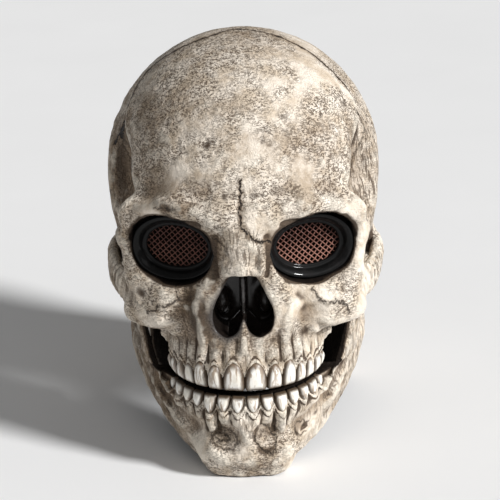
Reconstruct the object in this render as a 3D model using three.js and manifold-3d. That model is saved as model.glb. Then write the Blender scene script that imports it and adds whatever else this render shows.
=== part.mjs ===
// Full-head skull mask: a cast skull shell, a separate cast jaw that swings on two rivets
// behind the cheekbones, and a dark rim with a fine mesh in each eye socket.
// Millimetres, +Z up, the face looks along -Y, the origin is on the ground under the middle.
import * as THREE from "three";
import { mergeVertices } from "three/addons/utils/BufferGeometryUtils.js";
import Module from "manifold-3d";

const wasm = await Module();
wasm.setup();

// Braincase
const skullWidth = 170; // across the side bulges
const crownHeight = 252; // chin to crown
const crownRise = 84; // middle of the braincase to the crown
const foreheadReach = 96; // ear line to the forehead
const backReach = 111; // ear line to the back of the head
const templeWidth = 140; // across the skull just above the cheekbone arches
const templeDent = 9; // depth of the hollow behind the edge of the forehead

// Neck and hinge area
const neckWidth = 134;
const neckRimStart = 62; // ear line to where the rim reaches the ground
const cheekWallWidth = 138; // across the flat walls that carry the rivets
const hingeHeight = 98;
const hingeSetback = 0; // hinge axis behind the ear line

// Eyes
const eyeSpacing = 85;
const eyeHeight = 140.5;
const eyeDepth = 77; // ear line to the middle of the socket's edge
const socketWidth = 54;
const socketHeight = 41;
const socketTurn = 20; // degrees that each socket looks outwards
const socketWallDepth = 12;
const browBulge = 9; // radius of the brow ridge

// Cheekbones
const cheekHeight = 100.5; // middle of the cheekbone above the ground
const cheekRadius = 13;
const archWidth = 170; // across the outside of both arches
const archHeight = 15;
const archThickness = 6.4;
const archLevel = 115;

// Nose
const noseWidth = 36;
const noseHeight = 39;
const noseFoot = 93; // foot of the nose opening above the ground
const noseReach = 105; // ear line to the tip of the nose bone
const nosePocketDepth = 17;
const septumThickness = 2.4;

// Mouth and teeth
const mouthHeight = 58;
const mouthSlot = 4; // gap between the two rows of teeth
const dentalWidth = 94; // across the back teeth
const dentalReach = 107; // ear line to the gum over the front teeth
const dentalDepth = 49; // front teeth to back teeth
const upperGumRise = 18; // slot to the gum line
const lowerGumDrop = 11;
const toothProud = 2.6; // how far a tooth stands out of the gum
const ledge = 9; // shelf behind the teeth

// Jaw
const jawWidth = 149; // across the upright branches
const jawFootWidth = 122; // across the body of the jaw at the ground
const jawReach = 105; // ear line to the front of the chin
const jawBorderHeight = 44; // ground to the corner of the jaw
const jawCornerSetback = 12; // corner of the jaw ahead of the ear line
const jawFloorReach = 74; // ear line to the front of the open floor
const chinBulge = 11;
const chinTuck = 9; // how far the foot of the chin is behind its front

// Walls and clearances
const wall = 3.6;
const gap = 0.4; // clearance between separate pieces
const rivetRadius = 2.5;
const runningGap = 0.12; // between a rivet's shaft and its holes
const rivetHeadRadius = 6;
const rivetHeadThickness = 1.8;
const bossRadius = 10;
const rimBand = 6.5; // width of the dark rim
const rimDepth = 7;
const rimRecess = 2.2; // rim front behind the socket's edge
const meshThickness = 1;

// Scalar fields, negative inside
const clamp = (v, low, high) => Math.min(Math.max(v, low), high);
const blendUnion = (a, b, k) => {
  const h = Math.max(k - Math.abs(a - b), 0) / k;
  return Math.min(a, b) - (h * h * k) / 4;
};
const blendCut = (a, b, k) => -blendUnion(-a, b, k);
const ellipsoid = (x, y, z, c, r) => {
  const [u, v, w] = [(x - c[0]) / r[0], (y - c[1]) / r[1], (z - c[2]) / r[2]];
  const k = Math.hypot(u, v, w);
  return (k * (k - 1)) / Math.max(Math.hypot(u / r[0], v / r[1], w / r[2]), 1e-9);
};
const roundBar = (x, y, z, a, b, ra, rb) => {
  const [dx, dy, dz] = [b[0] - a[0], b[1] - a[1], b[2] - a[2]];
  const [px, py, pz] = [x - a[0], y - a[1], z - a[2]];
  const t = clamp((px * dx + py * dy + pz * dz) / (dx * dx + dy * dy + dz * dz), 0, 1);
  return Math.hypot(px - dx * t, py - dy * t, pz - dz * t) - ra - (rb - ra) * t;
};
// Upright prism with a superellipse plan: power 2 is an ellipse, lower powers are more pointed.
const prism = (x, y, halfWidth, halfDepth, power) => {
  const [u, v] = [Math.abs(x) / halfWidth, Math.abs(y) / halfDepth];
  const q = Math.max((u ** power + v ** power) ** (1 / power), 1e-6);
  return Math.hypot(x, y) * (1 - 1 / q);
};

// Every place below is mirrored, so x is taken as positive.
const eye = [eyeSpacing / 2, -eyeDepth, eyeHeight];
const socketUnit = [socketWidth / 2, socketWidth / 2, socketHeight / 2];
const atEye = ([u, v, w]) => [
  eye[0] + u * socketUnit[0],
  eye[1] + v * socketUnit[1],
  eye[2] + w * socketUnit[2],
];
// Bars of bone round a socket: ends in shares of half the socket, radii in shares of the brow's.
const socketBars = [
  { from: [-1.28, -0.44, 1.2], to: [-0.3, -0.2, 1.42], startRadius: 1, endRadius: 0.95, blend: 12 },
  { from: [-0.3, -0.2, 1.42], to: [0.85, 0.46, 0.96], startRadius: 0.95, endRadius: 0.8, blend: 10 },
  { from: [0.88, 0.52, 0.98], to: [0.98, 0.67, 0.22], startRadius: 0.75, endRadius: 0.72, blend: 7 },
  { from: [0.98, 0.67, 0.22], to: [0.82, 0.5, -1.03], startRadius: 0.72, endRadius: 0.75, blend: 7 },
  { from: [0.82, 0.5, -1.03], to: [0.1, 0.02, -1.36], startRadius: 0.75, endRadius: 0.78, blend: 7 },
  { from: [0.1, 0.02, -1.36], to: [-0.6, -0.2, -0.92], startRadius: 0.78, endRadius: 0.8, blend: 7 },
];
const cheek = {
  inner: [eye[0] + 0.05 * socketWidth, -eyeDepth + 2, cheekHeight],
  outer: [eye[0] + 0.36 * socketWidth, -eyeDepth + 14, cheekHeight],
};
const noseTop = noseFoot + noseHeight;
const dentalBack = -dentalReach + dentalDepth;
const muzzleTop = noseFoot + 0.3 * noseHeight;
const hingeY = hingeSetback;

function skullField(px, y, z) {
  const x = Math.abs(px);
  const middle = crownHeight - crownRise;
  const length = (foreheadReach + backReach) / 2;
  const centreY = (backReach - foreheadReach) / 2;
  let d = ellipsoid(x, y, z, [0, centreY, middle], [skullWidth / 2, length, crownRise]);
  // Side walls above the arches, and the base that the face stands on
  const side = [templeWidth / 2 + 10, eyeDepth + 13, 75];
  d = blendUnion(d, ellipsoid(x, y, z, [0, 0, eyeHeight - 2], side), 10);
  // Neck
  const neckMiddle = backReach - neckWidth / 2 - 4;
  const neck = [neckWidth / 2, neckWidth / 2 + 4, 160];
  d = blendUnion(d, ellipsoid(x, y, z, [0, neckMiddle, 60], neck), 14);
  // Flat walls by the hinge
  const cheekWall = Math.max(
    prism(x, y - hingeY + 8, cheekWallWidth / 2, 74, 1.9),
    Math.abs(z - hingeHeight) - 22,
  );
  d = blendUnion(d, cheekWall, 6);
  // Bone behind the ear, that the rear ends of the arches run into
  const earBone = [skullWidth / 2 - 20, hingeY + 30, hingeHeight + 5];
  d = blendUnion(d, ellipsoid(x, y, z, earBone, [20, 18, 27]), 10);
  // Hollow behind the edge of the forehead
  const dentReach = 24;
  const dent = [skullWidth / 2 - 12 + dentReach - templeDent, -44, middle + 10];
  d = blendCut(d, ellipsoid(x, y, z, dent, [dentReach, 28, 46]), 5);
  for (const bar of socketBars) {
    const [ra, rb] = [bar.startRadius * browBulge, bar.endRadius * browBulge];
    d = blendUnion(d, roundBar(x, y, z, atEye(bar.from), atEye(bar.to), ra, rb), bar.blend);
  }
  d = blendUnion(d, roundBar(x, y, z, cheek.inner, cheek.outer, cheekRadius, cheekRadius - 1), 8);
  // Muzzle: an upright prism that narrows upwards
  const lean = (z - mouthHeight - upperGumRise) / (muzzleTop - mouthHeight);
  const muzzleWidth = (dentalWidth / 2 - 2) * (1 - 0.12 * lean);
  const muzzleDepth = (dentalDepth - 1) * (1 - 0.16 * Math.max(lean, 0));
  const muzzle = prism(x, y - dentalBack, muzzleWidth, muzzleDepth, 2);
  d = blendUnion(d, blendCut(muzzle, muzzleTop + 6 - z, 16), 10);
  // Nose bone and the struts beside the nose opening
  const tip = [0, -noseReach + 9, noseTop + 3];
  d = blendUnion(d, roundBar(x, y, z, [0, -eyeDepth - 7, eyeHeight + 24], tip, 13, 8.5), 10);
  const strutTop = [0.35 * noseWidth, -eyeDepth - 10, eyeHeight + 6];
  const strutFoot = [0.68 * noseWidth, -eyeDepth - 12, noseFoot + 6];
  d = blendUnion(d, roundBar(x, y, z, strutTop, strutFoot, 8, 8), 8);
  return d;
}

function jawField(px, y, z) {
  const x = Math.abs(px);
  const rise = clamp(z / mouthHeight, 0, 1);
  const halfWidth = (jawFootWidth + (jawWidth - jawFootWidth) * rise) / 2;
  const back = -jawCornerSetback + 2;
  const tuck = chinTuck * clamp(1 - z / (2 * chinBulge), 0, 1) ** 2;
  let d = prism(x, y - back, halfWidth, jawReach + back - tuck, 1.6);
  // Lower border: from under the chin up to the corner of the jaw
  const chinY = -jawReach + 19;
  const slope = jawBorderHeight / (-jawCornerSetback - chinY);
  const border = ((y - chinY) * slope - z) / Math.hypot(1, slope);
  d = blendCut(d, -border, 6);
  const chin = [0, -jawReach + chinBulge + 2, chinBulge + 4];
  const chinReach = [chinBulge + 4, chinBulge, chinBulge + 7];
  const fromChin = Math.max(x - 0.11 * jawFootWidth, 0);
  d = blendUnion(d, ellipsoid(fromChin, y, z, chin, chinReach), 10);
  // Gum ridge that the lower teeth stand in
  const gum = prism(x, y - dentalBack, dentalWidth / 2 - 3, dentalDepth - 2, 2);
  const band = Math.abs(z - mouthHeight + lowerGumDrop) - 10;
  return blendUnion(d, blendCut(gum, -band, 8), 8);
}

// Distance-like value: the field divided by its slope.
function levelled(field) {
  const step = 0.5;
  return (x, y, z) => {
    const d = field(x, y, z);
    const slope = Math.hypot(
      field(x + step, y, z) - field(x - step, y, z),
      field(x, y + step, z) - field(x, y - step, z),
      field(x, y, z + step) - field(x, y, z - step),
    );
    return d / Math.max(slope / (2 * step), 0.35);
  };
}

// A closed skin shrunk onto a field from outside. Directions crowd towards the face by pull.
function shrinkWrap(field, centre, detail, pull, startRadius) {
  const shape = new THREE.IcosahedronGeometry(1, detail);
  shape.deleteAttribute("normal");
  shape.deleteAttribute("uv");
  const skin = mergeVertices(shape, 1e-5);
  const position = skin.getAttribute("position");
  const ray = new THREE.Vector3();
  for (let i = 0; i < position.count; i++) {
    ray.fromBufferAttribute(position, i);
    ray.y -= pull;
    ray.normalize();
    const inside = (r) =>
      field(centre[0] + ray.x * r, centre[1] + ray.y * r, centre[2] + ray.z * r);
    let outer = startRadius;
    let value = inside(outer);
    let inner = outer;
    while (value > 0 && inner > 1) {
      outer = inner;
      inner -= clamp(0.6 * value, 0.5, 12);
      value = inside(inner);
    }
    for (let k = 0; k < 12; k++) {
      const half = (inner + outer) / 2;
      if (inside(half) > 0) outer = half;
      else inner = half;
    }
    ray.multiplyScalar(Math.max(inner, 1));
    position.setXYZ(i, centre[0] + ray.x, centre[1] + ray.y, centre[2] + ray.z);
  }
  return skin;
}

// Solids
function solid(geometry) {
  const bare = geometry.index ? geometry.toNonIndexed() : geometry.clone();
  bare.deleteAttribute("normal");
  bare.deleteAttribute("uv");
  const merged = mergeVertices(bare, 1e-4);
  return new wasm.Manifold(
    new wasm.Mesh({
      numProp: 3,
      vertProperties: merged.getAttribute("position").array,
      triVerts: new Uint32Array(merged.index.array),
    }),
  );
}
function toGeometry(manifold) {
  const mesh = manifold.getMesh();
  const geometry = new THREE.BufferGeometry();
  geometry.setAttribute("position", new THREE.BufferAttribute(mesh.vertProperties, 3));
  geometry.setIndex(new THREE.BufferAttribute(mesh.triVerts, 1));
  return geometry;
}
const both = (make) => [1, -1].map(make);
const joined = (parts) => parts.reduce((a, b) => a.add(b));

// A slab with a side outline of [y, z] points, right through the mask.
function sideSlab(points) {
  const shape = new THREE.Shape(points.map(([y, z]) => new THREE.Vector2(y, z)));
  const reach = skullWidth;
  const slab = new THREE.ExtrudeGeometry(shape, { depth: 2 * reach, bevelEnabled: false });
  slab.translate(0, 0, -reach);
  // Extrusion axis to X, outline axes to Y and Z
  slab.applyMatrix4(
    new THREE.Matrix4().makeBasis(
      new THREE.Vector3(0, 1, 0),
      new THREE.Vector3(0, 0, 1),
      new THREE.Vector3(1, 0, 0),
    ),
  );
  return solid(slab);
}
// An upright elliptical plug over the dental arch, for what is open behind the teeth.
function archPlug(halfWidth, halfDepth, low, high) {
  const plug = new THREE.CylinderGeometry(1, 1, high - low, 36);
  plug.rotateX(Math.PI / 2);
  plug.scale(halfWidth, halfDepth, 1);
  plug.translate(0, dentalBack, (low + high) / 2);
  return solid(plug);
}

// Socket outline in shares of half its width (towards the ear) and half its height.
const socketOutline = [
  { out: -1.1, up: 0.2 },
  { out: -0.74, up: 0.78 },
  { out: -0.22, up: 1.0 },
  { out: 0.45, up: 0.92 },
  { out: 0.88, up: 0.46 },
  { out: 1.0, up: -0.12 },
  { out: 0.8, up: -0.68 },
  { out: 0.23, up: -1.0 },
  { out: -0.42, up: -0.85 },
  { out: -0.9, up: -0.38 },
];
function socketCurve(inset) {
  const points = socketOutline.map(
    ({ out, up }) =>
      new THREE.Vector3(out * (socketWidth / 2 - inset), up * (socketHeight / 2 - inset), 0),
  );
  return new THREE.CatmullRomCurve3(points, true, "centripetal");
}
// The socket's own frame: X towards the ear, Y up, Z out of the face.
function socketFrame(side) {
  const turn = THREE.MathUtils.degToRad(socketTurn);
  const out = new THREE.Vector3(side * Math.sin(turn), -Math.cos(turn), 0);
  const across = new THREE.Vector3(side * Math.cos(turn), Math.sin(turn), 0);
  return new THREE.Matrix4()
    .makeBasis(across, new THREE.Vector3(0, 0, 1), out)
    .setPosition(side * eye[0], eye[1], eye[2]);
}
// The left socket's frame is a mirror image, so its faces are turned round.
function placedInSocket(geometry, side) {
  const placed = mergeVertices(geometry.applyMatrix4(socketFrame(side)));
  const index = placed.index.array;
  if (side < 0)
    for (let i = 0; i < index.length; i += 3) [index[i], index[i + 1]] = [index[i + 1], index[i]];
  return solid(placed);
}
function socketPlug(side, inset, low, high) {
  const outline = socketCurve(inset).getPoints(28).slice(0, -1);
  const shape = new THREE.Shape(outline.map((p) => new THREE.Vector2(p.x, p.y)));
  const plug = new THREE.ExtrudeGeometry(shape, { depth: high - low, bevelEnabled: false });
  plug.translate(0, 0, low);
  return placedInSocket(plug, side);
}

// Nose opening in shares of half its width and of its height above its foot.
const noseOutline = [
  { out: 0, up: 1.0 },
  { out: 0.42, up: 0.97 },
  { out: 0.64, up: 0.7 },
  { out: 0.9, up: 0.45 },
  { out: 1.0, up: 0.24 },
  { out: 0.86, up: 0.06 },
  { out: 0.52, up: 0.0 },
  { out: 0.22, up: 0.08 },
  { out: 0, up: 0.27 },
];
function nosePlug(outset, front, back) {
  const right = noseOutline.map(({ out, up }) => [
    out * (noseWidth / 2) + (out > 0 ? outset : 0),
    noseFoot + up * noseHeight + outset * (2 * up - 1),
  ]);
  const left = right
    .slice(1, -1)
    .reverse()
    .map(([x, z]) => [-x, z]);
  const shape = new THREE.Shape([...right, ...left].map(([x, z]) => new THREE.Vector2(x, z)));
  const plug = new THREE.ExtrudeGeometry(shape, { depth: back - front, bevelEnabled: false });
  plug.rotateX(Math.PI / 2);
  plug.translate(0, back, 0);
  return solid(plug);
}

// Teeth, from the middle outwards: widths in shares of the dental width, heights in shares
// of the distance from the bite to the gum line.
const upperTeeth = [
  { width: 0.141, height: 1.0 },
  { width: 0.104, height: 0.9 },
  { width: 0.104, height: 0.95 },
  { width: 0.092, height: 0.78 },
  { width: 0.092, height: 0.74 },
  { width: 0.11, height: 0.7 },
  { width: 0.102, height: 0.62 },
];
const lowerTeeth = [
  { width: 0.095, height: 0.95 },
  { width: 0.093, height: 0.9 },
  { width: 0.098, height: 1.15 },
  { width: 0.092, height: 0.9 },
  { width: 0.092, height: 0.85 },
  { width: 0.11, height: 0.8 },
  { width: 0.108, height: 0.75 },
];
// Place on the dental arch at a length along it from the middle.
function onArch(length, inset) {
  const [w, d] = [dentalWidth / 2 - inset, dentalDepth - inset];
  let [walked, t] = [0, 0];
  const step = 0.005;
  while (walked < length && t < Math.PI / 2) {
    walked += step * Math.hypot(w * Math.cos(t), d * Math.sin(t));
    t += step;
  }
  const normal = new THREE.Vector2(Math.sin(t) / w, -Math.cos(t) / d).normalize();
  return { x: w * Math.sin(t), y: dentalBack - d * Math.cos(t), normal };
}
function toothRow(teeth, inset, biteZ, gumReach) {
  const made = [];
  let start = 0;
  for (const { width: share, height } of teeth) {
    const width = share * dentalWidth;
    const place = onArch(start + width / 2, inset);
    start += width;
    const tall = height * gumReach;
    for (const side of [1, -1]) {
      const tooth = new THREE.CylinderGeometry(width * 0.52, width * 0.42, Math.abs(tall), 8);
      tooth.rotateX(tall > 0 ? -Math.PI / 2 : Math.PI / 2);
      tooth.rotateZ(Math.PI / 8);
      const turn = Math.atan2(side * place.normal.x, -place.normal.y);
      tooth.scale(1, (toothProud + 2) / (width * 0.42), 1);
      tooth.rotateZ(turn);
      tooth.translate(side * place.x, place.y, biteZ + tall / 2);
      made.push(solid(tooth));
    }
  }
  return joined(made);
}

// Cheekbone arch: a flattened bar swept from the cheekbone to above the hinge.
function cheekArch(side) {
  const outer = archWidth / 2 - archThickness / 2;
  const route = [
    [cheek.outer[0] + 4, cheek.outer[1] + 2, cheekHeight + 6],
    [outer - 4, -46, archLevel - 3],
    [outer, -26, archLevel],
    [outer, -6, archLevel],
    [outer - 8, 22, archLevel - 2],
  ];
  const curve = new THREE.CatmullRomCurve3(
    route.map(([x, y, z]) => new THREE.Vector3(side * x, y, z)),
  );
  const steps = 14;
  const around = 10;
  const ring = [];
  for (let i = 0; i <= steps; i++) {
    const at = curve.getPoint(i / steps);
    const along = curve.getTangent(i / steps);
    const across = new THREE.Vector3(0, 0, 1).cross(along).normalize();
    const up = along.clone().cross(across);
    for (let j = 0; j < around; j++) {
      const a = (2 * Math.PI * j) / around;
      const point = at
        .clone()
        .addScaledVector(across, (Math.cos(a) * archThickness) / 2)
        .addScaledVector(up, (Math.sin(a) * archHeight) / 2);
      ring.push(point.x, point.y, point.z);
    }
  }
  const faces = [];
  for (let i = 0; i < steps; i++)
    for (let j = 0; j < around; j++) {
      const [a, b] = [i * around + j, i * around + ((j + 1) % around)];
      faces.push(a, b, a + around, b, b + around, a + around);
    }
  for (let j = 1; j < around - 1; j++) {
    faces.push(0, j + 1, j);
    const last = steps * around;
    faces.push(last, last + j, last + j + 1);
  }
  const bar = new THREE.BufferGeometry();
  bar.setAttribute("position", new THREE.Float32BufferAttribute(ring, 3));
  bar.setIndex(faces);
  return solid(bar);
}

// A disc or shaft along X at the hinge, between two distances from the middle.
function hingeDisc(side, radius, inner, outer, sides = 20) {
  const disc = new THREE.CylinderGeometry(radius, radius, outer - inner, sides);
  disc.rotateZ(Math.PI / 2);
  disc.translate((side * (inner + outer)) / 2, hingeY, hingeHeight);
  return solid(disc);
}

const hingeX = cheekWallWidth / 2; // outer face of the shell at the hinge
const rivetHole = (rivetRadius + runningGap) / Math.cos(Math.PI / 20);
const jawPlate = { inner: hingeX + gap, outer: hingeX + gap + wall };
const rivetOuter = jawPlate.outer + gap + rivetHeadThickness;

function skullShell() {
  const centre = [0, -6, 132];
  const outer = shrinkWrap(skullField, centre, 12, 0.36, 190);
  const offset = levelled(skullField);
  const hollow = shrinkWrap((x, y, z) => offset(x, y, z) + wall, centre, 7, 0.2, 190);
  let body = solid(outer).add(joined(both(cheekArch)));
  let inside = solid(hollow);
  for (const side of [1, -1]) {
    const collar = socketPlug(side, -wall, -socketWallDepth, 40);
    inside = inside.subtract(collar);
  }
  const pocketBack = -noseReach + 14 + nosePocketDepth;
  inside = inside.subtract(nosePlug(wall, -noseReach - 30, pocketBack + wall));
  // Shelf behind the upper teeth
  const biteZ = mouthHeight + mouthSlot / 2;
  const shelf = sideSlab([
    [-160, biteZ - 60],
    [dentalBack + 2, biteZ - 60],
    [dentalBack + 2, biteZ + wall],
    [-160, biteZ + wall],
  ]);
  inside = inside.subtract(shelf);
  body = body.add(toothRow(upperTeeth, 1.5, biteZ + 0.01, upperGumRise));
  body = body.subtract(inside);
  body = body.subtract(archPlug(dentalWidth / 2 - ledge, dentalDepth - ledge, 20, biteZ + 12));
  for (const side of [1, -1]) body = body.subtract(socketPlug(side, 0, -60, 60));
  body = body.subtract(nosePlug(0, -noseReach - 30, pocketBack));
  // Septum
  const septum = new THREE.BoxGeometry(septumThickness, nosePocketDepth, noseHeight + 4);
  septum.translate(0, pocketBack - nosePocketDepth / 2 + 0.5, noseFoot + noseHeight / 2);
  body = body.add(solid(septum));
  // Lower edge: over the cheeks, under the hinge and down to the neck rim
  const underside = [
    [-160, -60],
    [-160, biteZ],
    [dentalBack + 3, biteZ],
    [dentalBack + 6, cheekHeight - 20],
    [dentalBack + 12, cheekHeight - 12],
    [hingeY - 16, hingeHeight - 13],
    [hingeY + 12, hingeHeight - 13],
    [hingeY + 20, hingeHeight - 34],
    [neckRimStart - 26, 30],
    [neckRimStart, 0],
    [160, 0],
    [160, -60],
  ];
  body = body.subtract(sideSlab(underside));
  for (const side of [1, -1]) {
    body = body.add(hingeDisc(side, bossRadius, hingeX - wall - 1, hingeX));
    body = body.subtract(hingeDisc(side, 30, hingeX, hingeX + wall + 2 * gap, 32));
    body = body.subtract(hingeDisc(side, rivetHeadRadius + wall, hingeX, rivetOuter + gap, 12));
    body = body.subtract(hingeDisc(side, rivetHole, hingeX - 30, hingeX + 30));
  }
  return body;
}

function jawShell() {
  const centre = [0, -40, 50];
  const outer = shrinkWrap(jawField, centre, 8, 0.34, 170);
  const offset = levelled(jawField);
  const hollow = shrinkWrap((x, y, z) => offset(x, y, z) + wall, centre, 5, 0.2, 170);
  const biteZ = mouthHeight - mouthSlot / 2;
  // Side outline: bite line, front edge, tip, notch, head, rear edge and corner
  const outline = [
    [-160, 0],
    [-jawReach + 45, 0],
    [-jawCornerSetback + 4, jawBorderHeight - 7],
    [-jawCornerSetback + 11, jawBorderHeight + 8],
    [hingeY + 7, hingeHeight - 18],
    [hingeY + bossRadius, hingeHeight - 2],
    [hingeY + 5, hingeHeight + 8],
    [hingeY - 6, hingeHeight + 8],
    [hingeY - 20, hingeHeight - 14],
    [hingeY - 30, hingeHeight - 12],
    [hingeY - 38, hingeHeight - 9],
    [hingeY - 44, hingeHeight - 18],
    [dentalBack + 6, biteZ + 10],
    [dentalBack, biteZ],
    [-160, biteZ],
  ];
  let inside = solid(hollow);
  const shelf = sideSlab([
    [-160, biteZ - wall],
    [dentalBack + 2, biteZ - wall],
    [dentalBack + 2, biteZ + 60],
    [-160, biteZ + 60],
  ]);
  const chinFloor = sideSlab([
    [-160, -60],
    [160, -60],
    [160, wall],
    [-160, wall],
  ]);
  inside = inside.subtract(shelf).subtract(chinFloor);
  let body = solid(outer).add(toothRow(lowerTeeth, 2, biteZ - 0.01, -lowerGumDrop));
  body = body.subtract(inside);
  // Open floor, inset from the border, and the space behind the teeth
  const behindTeeth = archPlug(dentalWidth / 2 - ledge, dentalDepth - ledge, chinBulge, biteZ + 12);
  body = body.subtract(behindTeeth);
  const floor = new THREE.CylinderGeometry(1, 1, 120, 36);
  floor.rotateX(Math.PI / 2);
  floor.scale(jawWidth / 2 - wall - 8, jawFloorReach - jawCornerSetback, 1);
  floor.translate(0, -jawCornerSetback, 20);
  body = body.subtract(solid(floor));
  body = body.intersect(sideSlab(outline));
  for (const side of [1, -1]) {
    body = body.subtract(hingeDisc(side, 15, jawPlate.outer, jawPlate.outer + 20, 32));
    body = body.add(hingeDisc(side, bossRadius, jawPlate.inner, jawPlate.outer));
    body = body.subtract(hingeDisc(side, 30, hingeX - 30, jawPlate.inner, 32));
    body = body.subtract(hingeDisc(side, rivetHole, hingeX - 30, hingeX + 30));
  }
  return body;
}

function rivet(side) {
  const inner = hingeX - wall - 1 - gap;
  const outer = jawPlate.outer + gap;
  return joined([
    hingeDisc(side, rivetRadius, inner - 0.5, outer + 0.5, 16),
    hingeDisc(side, rivetHeadRadius, outer, outer + rivetHeadThickness, 20),
    hingeDisc(side, rivetHeadRadius, inner - rivetHeadThickness, inner, 20),
  ]);
}

// Dark rim: a rounded band that fills the socket's wall.
function eyeRim(side) {
  const front = -rimRecess;
  const section = [
    { inset: gap, out: 0 },
    { inset: gap, out: -1 },
    { inset: 0.7 * rimBand, out: -1 },
    { inset: rimBand, out: -0.75 },
    { inset: 0.92 * rimBand, out: -0.4 },
    { inset: 0.6 * rimBand, out: -0.08 },
    { inset: 0.25 * rimBand, out: 0.04 },
  ];
  const around = 26;
  const rings = section.map(({ inset, out }) =>
    socketCurve(inset)
      .getPoints(around)
      .slice(0, -1)
      .map((p) => [p.x, p.y, front + out * rimDepth]),
  );
  const points = rings.flat(2);
  const faces = [];
  const count = section.length;
  for (let i = 0; i < count; i++)
    for (let j = 0; j < around; j++) {
      const [a, b] = [i * around + j, i * around + ((j + 1) % around)];
      const next = ((i + 1) % count) * around;
      const [c, d] = [next + j, next + ((j + 1) % around)];
      faces.push(a, b, c, b, d, c);
    }
  const rim = new THREE.BufferGeometry();
  rim.setAttribute("position", new THREE.Float32BufferAttribute(points, 3));
  rim.setIndex(faces);
  return placedInSocket(rim, side);
}

function eyeMesh(side) {
  const back = -rimRecess - rimDepth - gap;
  return socketPlug(side, gap, back - meshThickness, back);
}

// Model
const bone = new THREE.MeshStandardMaterial({ color: 0xcfc3ae, roughness: 0.75, metalness: 0 });
const black = new THREE.MeshStandardMaterial({ color: 0x17171a, roughness: 0.45, metalness: 0 });
const net = new THREE.MeshStandardMaterial({ color: 0x0d0c0c, roughness: 0.6, metalness: 0 });
const metal = new THREE.MeshStandardMaterial({ color: 0x6f6a62, roughness: 0.4, metalness: 1 });

const group = new THREE.Group();
function place(name, body, material) {
  const mesh = new THREE.Mesh(toGeometry(body), material);
  mesh.name = name;
  group.add(mesh);
}
place("skull_shell", skullShell(), bone);
place("jaw_shell", jawShell(), bone);
for (const [label, side] of [
  ["left", -1],
  ["right", 1],
]) {
  place(`eye_rim_${label}`, eyeRim(side), black);
  place(`eye_mesh_${label}`, eyeMesh(side), net);
  place(`jaw_rivet_${label}`, rivet(side), metal);
}

export default group;
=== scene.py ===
import math

import bpy
import numpy as np
from mathutils import Matrix, Vector


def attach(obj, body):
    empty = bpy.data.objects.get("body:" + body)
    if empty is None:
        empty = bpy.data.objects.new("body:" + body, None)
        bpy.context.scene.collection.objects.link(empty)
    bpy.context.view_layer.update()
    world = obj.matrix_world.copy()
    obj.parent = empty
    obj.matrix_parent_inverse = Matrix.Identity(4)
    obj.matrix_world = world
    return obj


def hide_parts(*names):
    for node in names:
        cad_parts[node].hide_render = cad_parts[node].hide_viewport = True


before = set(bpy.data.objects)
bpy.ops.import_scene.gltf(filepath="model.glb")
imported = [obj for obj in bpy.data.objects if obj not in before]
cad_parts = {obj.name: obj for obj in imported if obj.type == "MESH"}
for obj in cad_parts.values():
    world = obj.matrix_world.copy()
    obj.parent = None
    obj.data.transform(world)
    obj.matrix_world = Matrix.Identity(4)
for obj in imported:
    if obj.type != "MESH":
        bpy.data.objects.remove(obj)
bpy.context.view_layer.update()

MM = 0.001
STEP = 1.0  # grid step of the shells
SKULL_FACES, JAW_FACES = 190000, 110000  # triangles left after thinning
NOISE_GRID = 32
CRACK_END, CRACK_REACH = 1.2, 6.0  # how far a crack is felt past its ends and beside it
THIN_KEEP, THIN_LEVELS = 6, 20  # how strongly thinning spares fine places, and its weight steps
FLECK_STRETCH, GRAIN_STRETCH = (1.0, 1.0, 2.3), (1.0, 1.0, 0.16)
FLOOR_HALF, FLOOR_DROP = 6000.0, 0.3
NET_PITCH, NET_STRAND, NET_WAVE, NET_ROWS, NET_SIDES = 2.7, 0.36, 0.26, 14, 5
rng = np.random.default_rng(7)

# Sizes from the CAD source, millimetres
SKULL_WIDTH, CROWN, CROWN_RISE = 170.0, 252.0, 84.0
FOREHEAD_REACH, BACK_REACH, TEMPLE_WIDTH = 96.0, 111.0, 140.0
NECK_WIDTH, NECK_RIM_START, CHEEK_WALL = 134.0, 62.0, 138.0
HINGE_Z = 98.0
EYE = np.array([42.5, -77.0, 140.5])
SOCKET_W, SOCKET_H, SOCKET_TURN, SOCKET_WALL = 54.0, 41.0, math.radians(20), 12.0
BROW = 9.0
CHEEK_Z, CHEEK_R = 100.5, 13.0
ARCH_WIDTH, ARCH_H, ARCH_T, ARCH_Z = 170.0, 15.0, 6.4, 115.0
NOSE_W, NOSE_H, NOSE_FOOT, NOSE_REACH, NOSE_POCKET = 36.0, 39.0, 93.0, 105.0, 17.0
SEPTUM = 2.4
MOUTH_Z, SLOT = 58.0, 4.0
DENTAL_W, DENTAL_REACH, DENTAL_DEPTH = 94.0, 107.0, 49.0
UPPER_REACH, LOWER_REACH = 18.0, 11.0
LEDGE = 9.0
JAW_W, JAW_FOOT, JAW_REACH, JAW_BORDER, JAW_CORNER = 149.0, 122.0, 105.0, 44.0, 12.0
JAW_FLOOR, CHIN, CHIN_TUCK = 74.0, 11.0, 9.0
WALL, GAP, EDGE_ROUND = 3.6, 0.4, 1.2
BOSS_R, RIVET_HOLE = 10.0, 2.62
RIM_BAND, RIM_DEPTH, RIM_RECESS = 6.5, 7.0, 2.2
DENTAL_BACK = -DENTAL_REACH + DENTAL_DEPTH
HINGE_X = CHEEK_WALL / 2
BITE_UP, BITE_LOW = MOUTH_Z + SLOT / 2, MOUTH_Z - SLOT / 2


# Fields, negative inside
def union(a, b, k):
    h = np.maximum(k - np.abs(a - b), 0) / k
    return np.minimum(a, b) - h * h * k / 4


def cut(a, b, k):
    return -union(-a, b, k)


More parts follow.
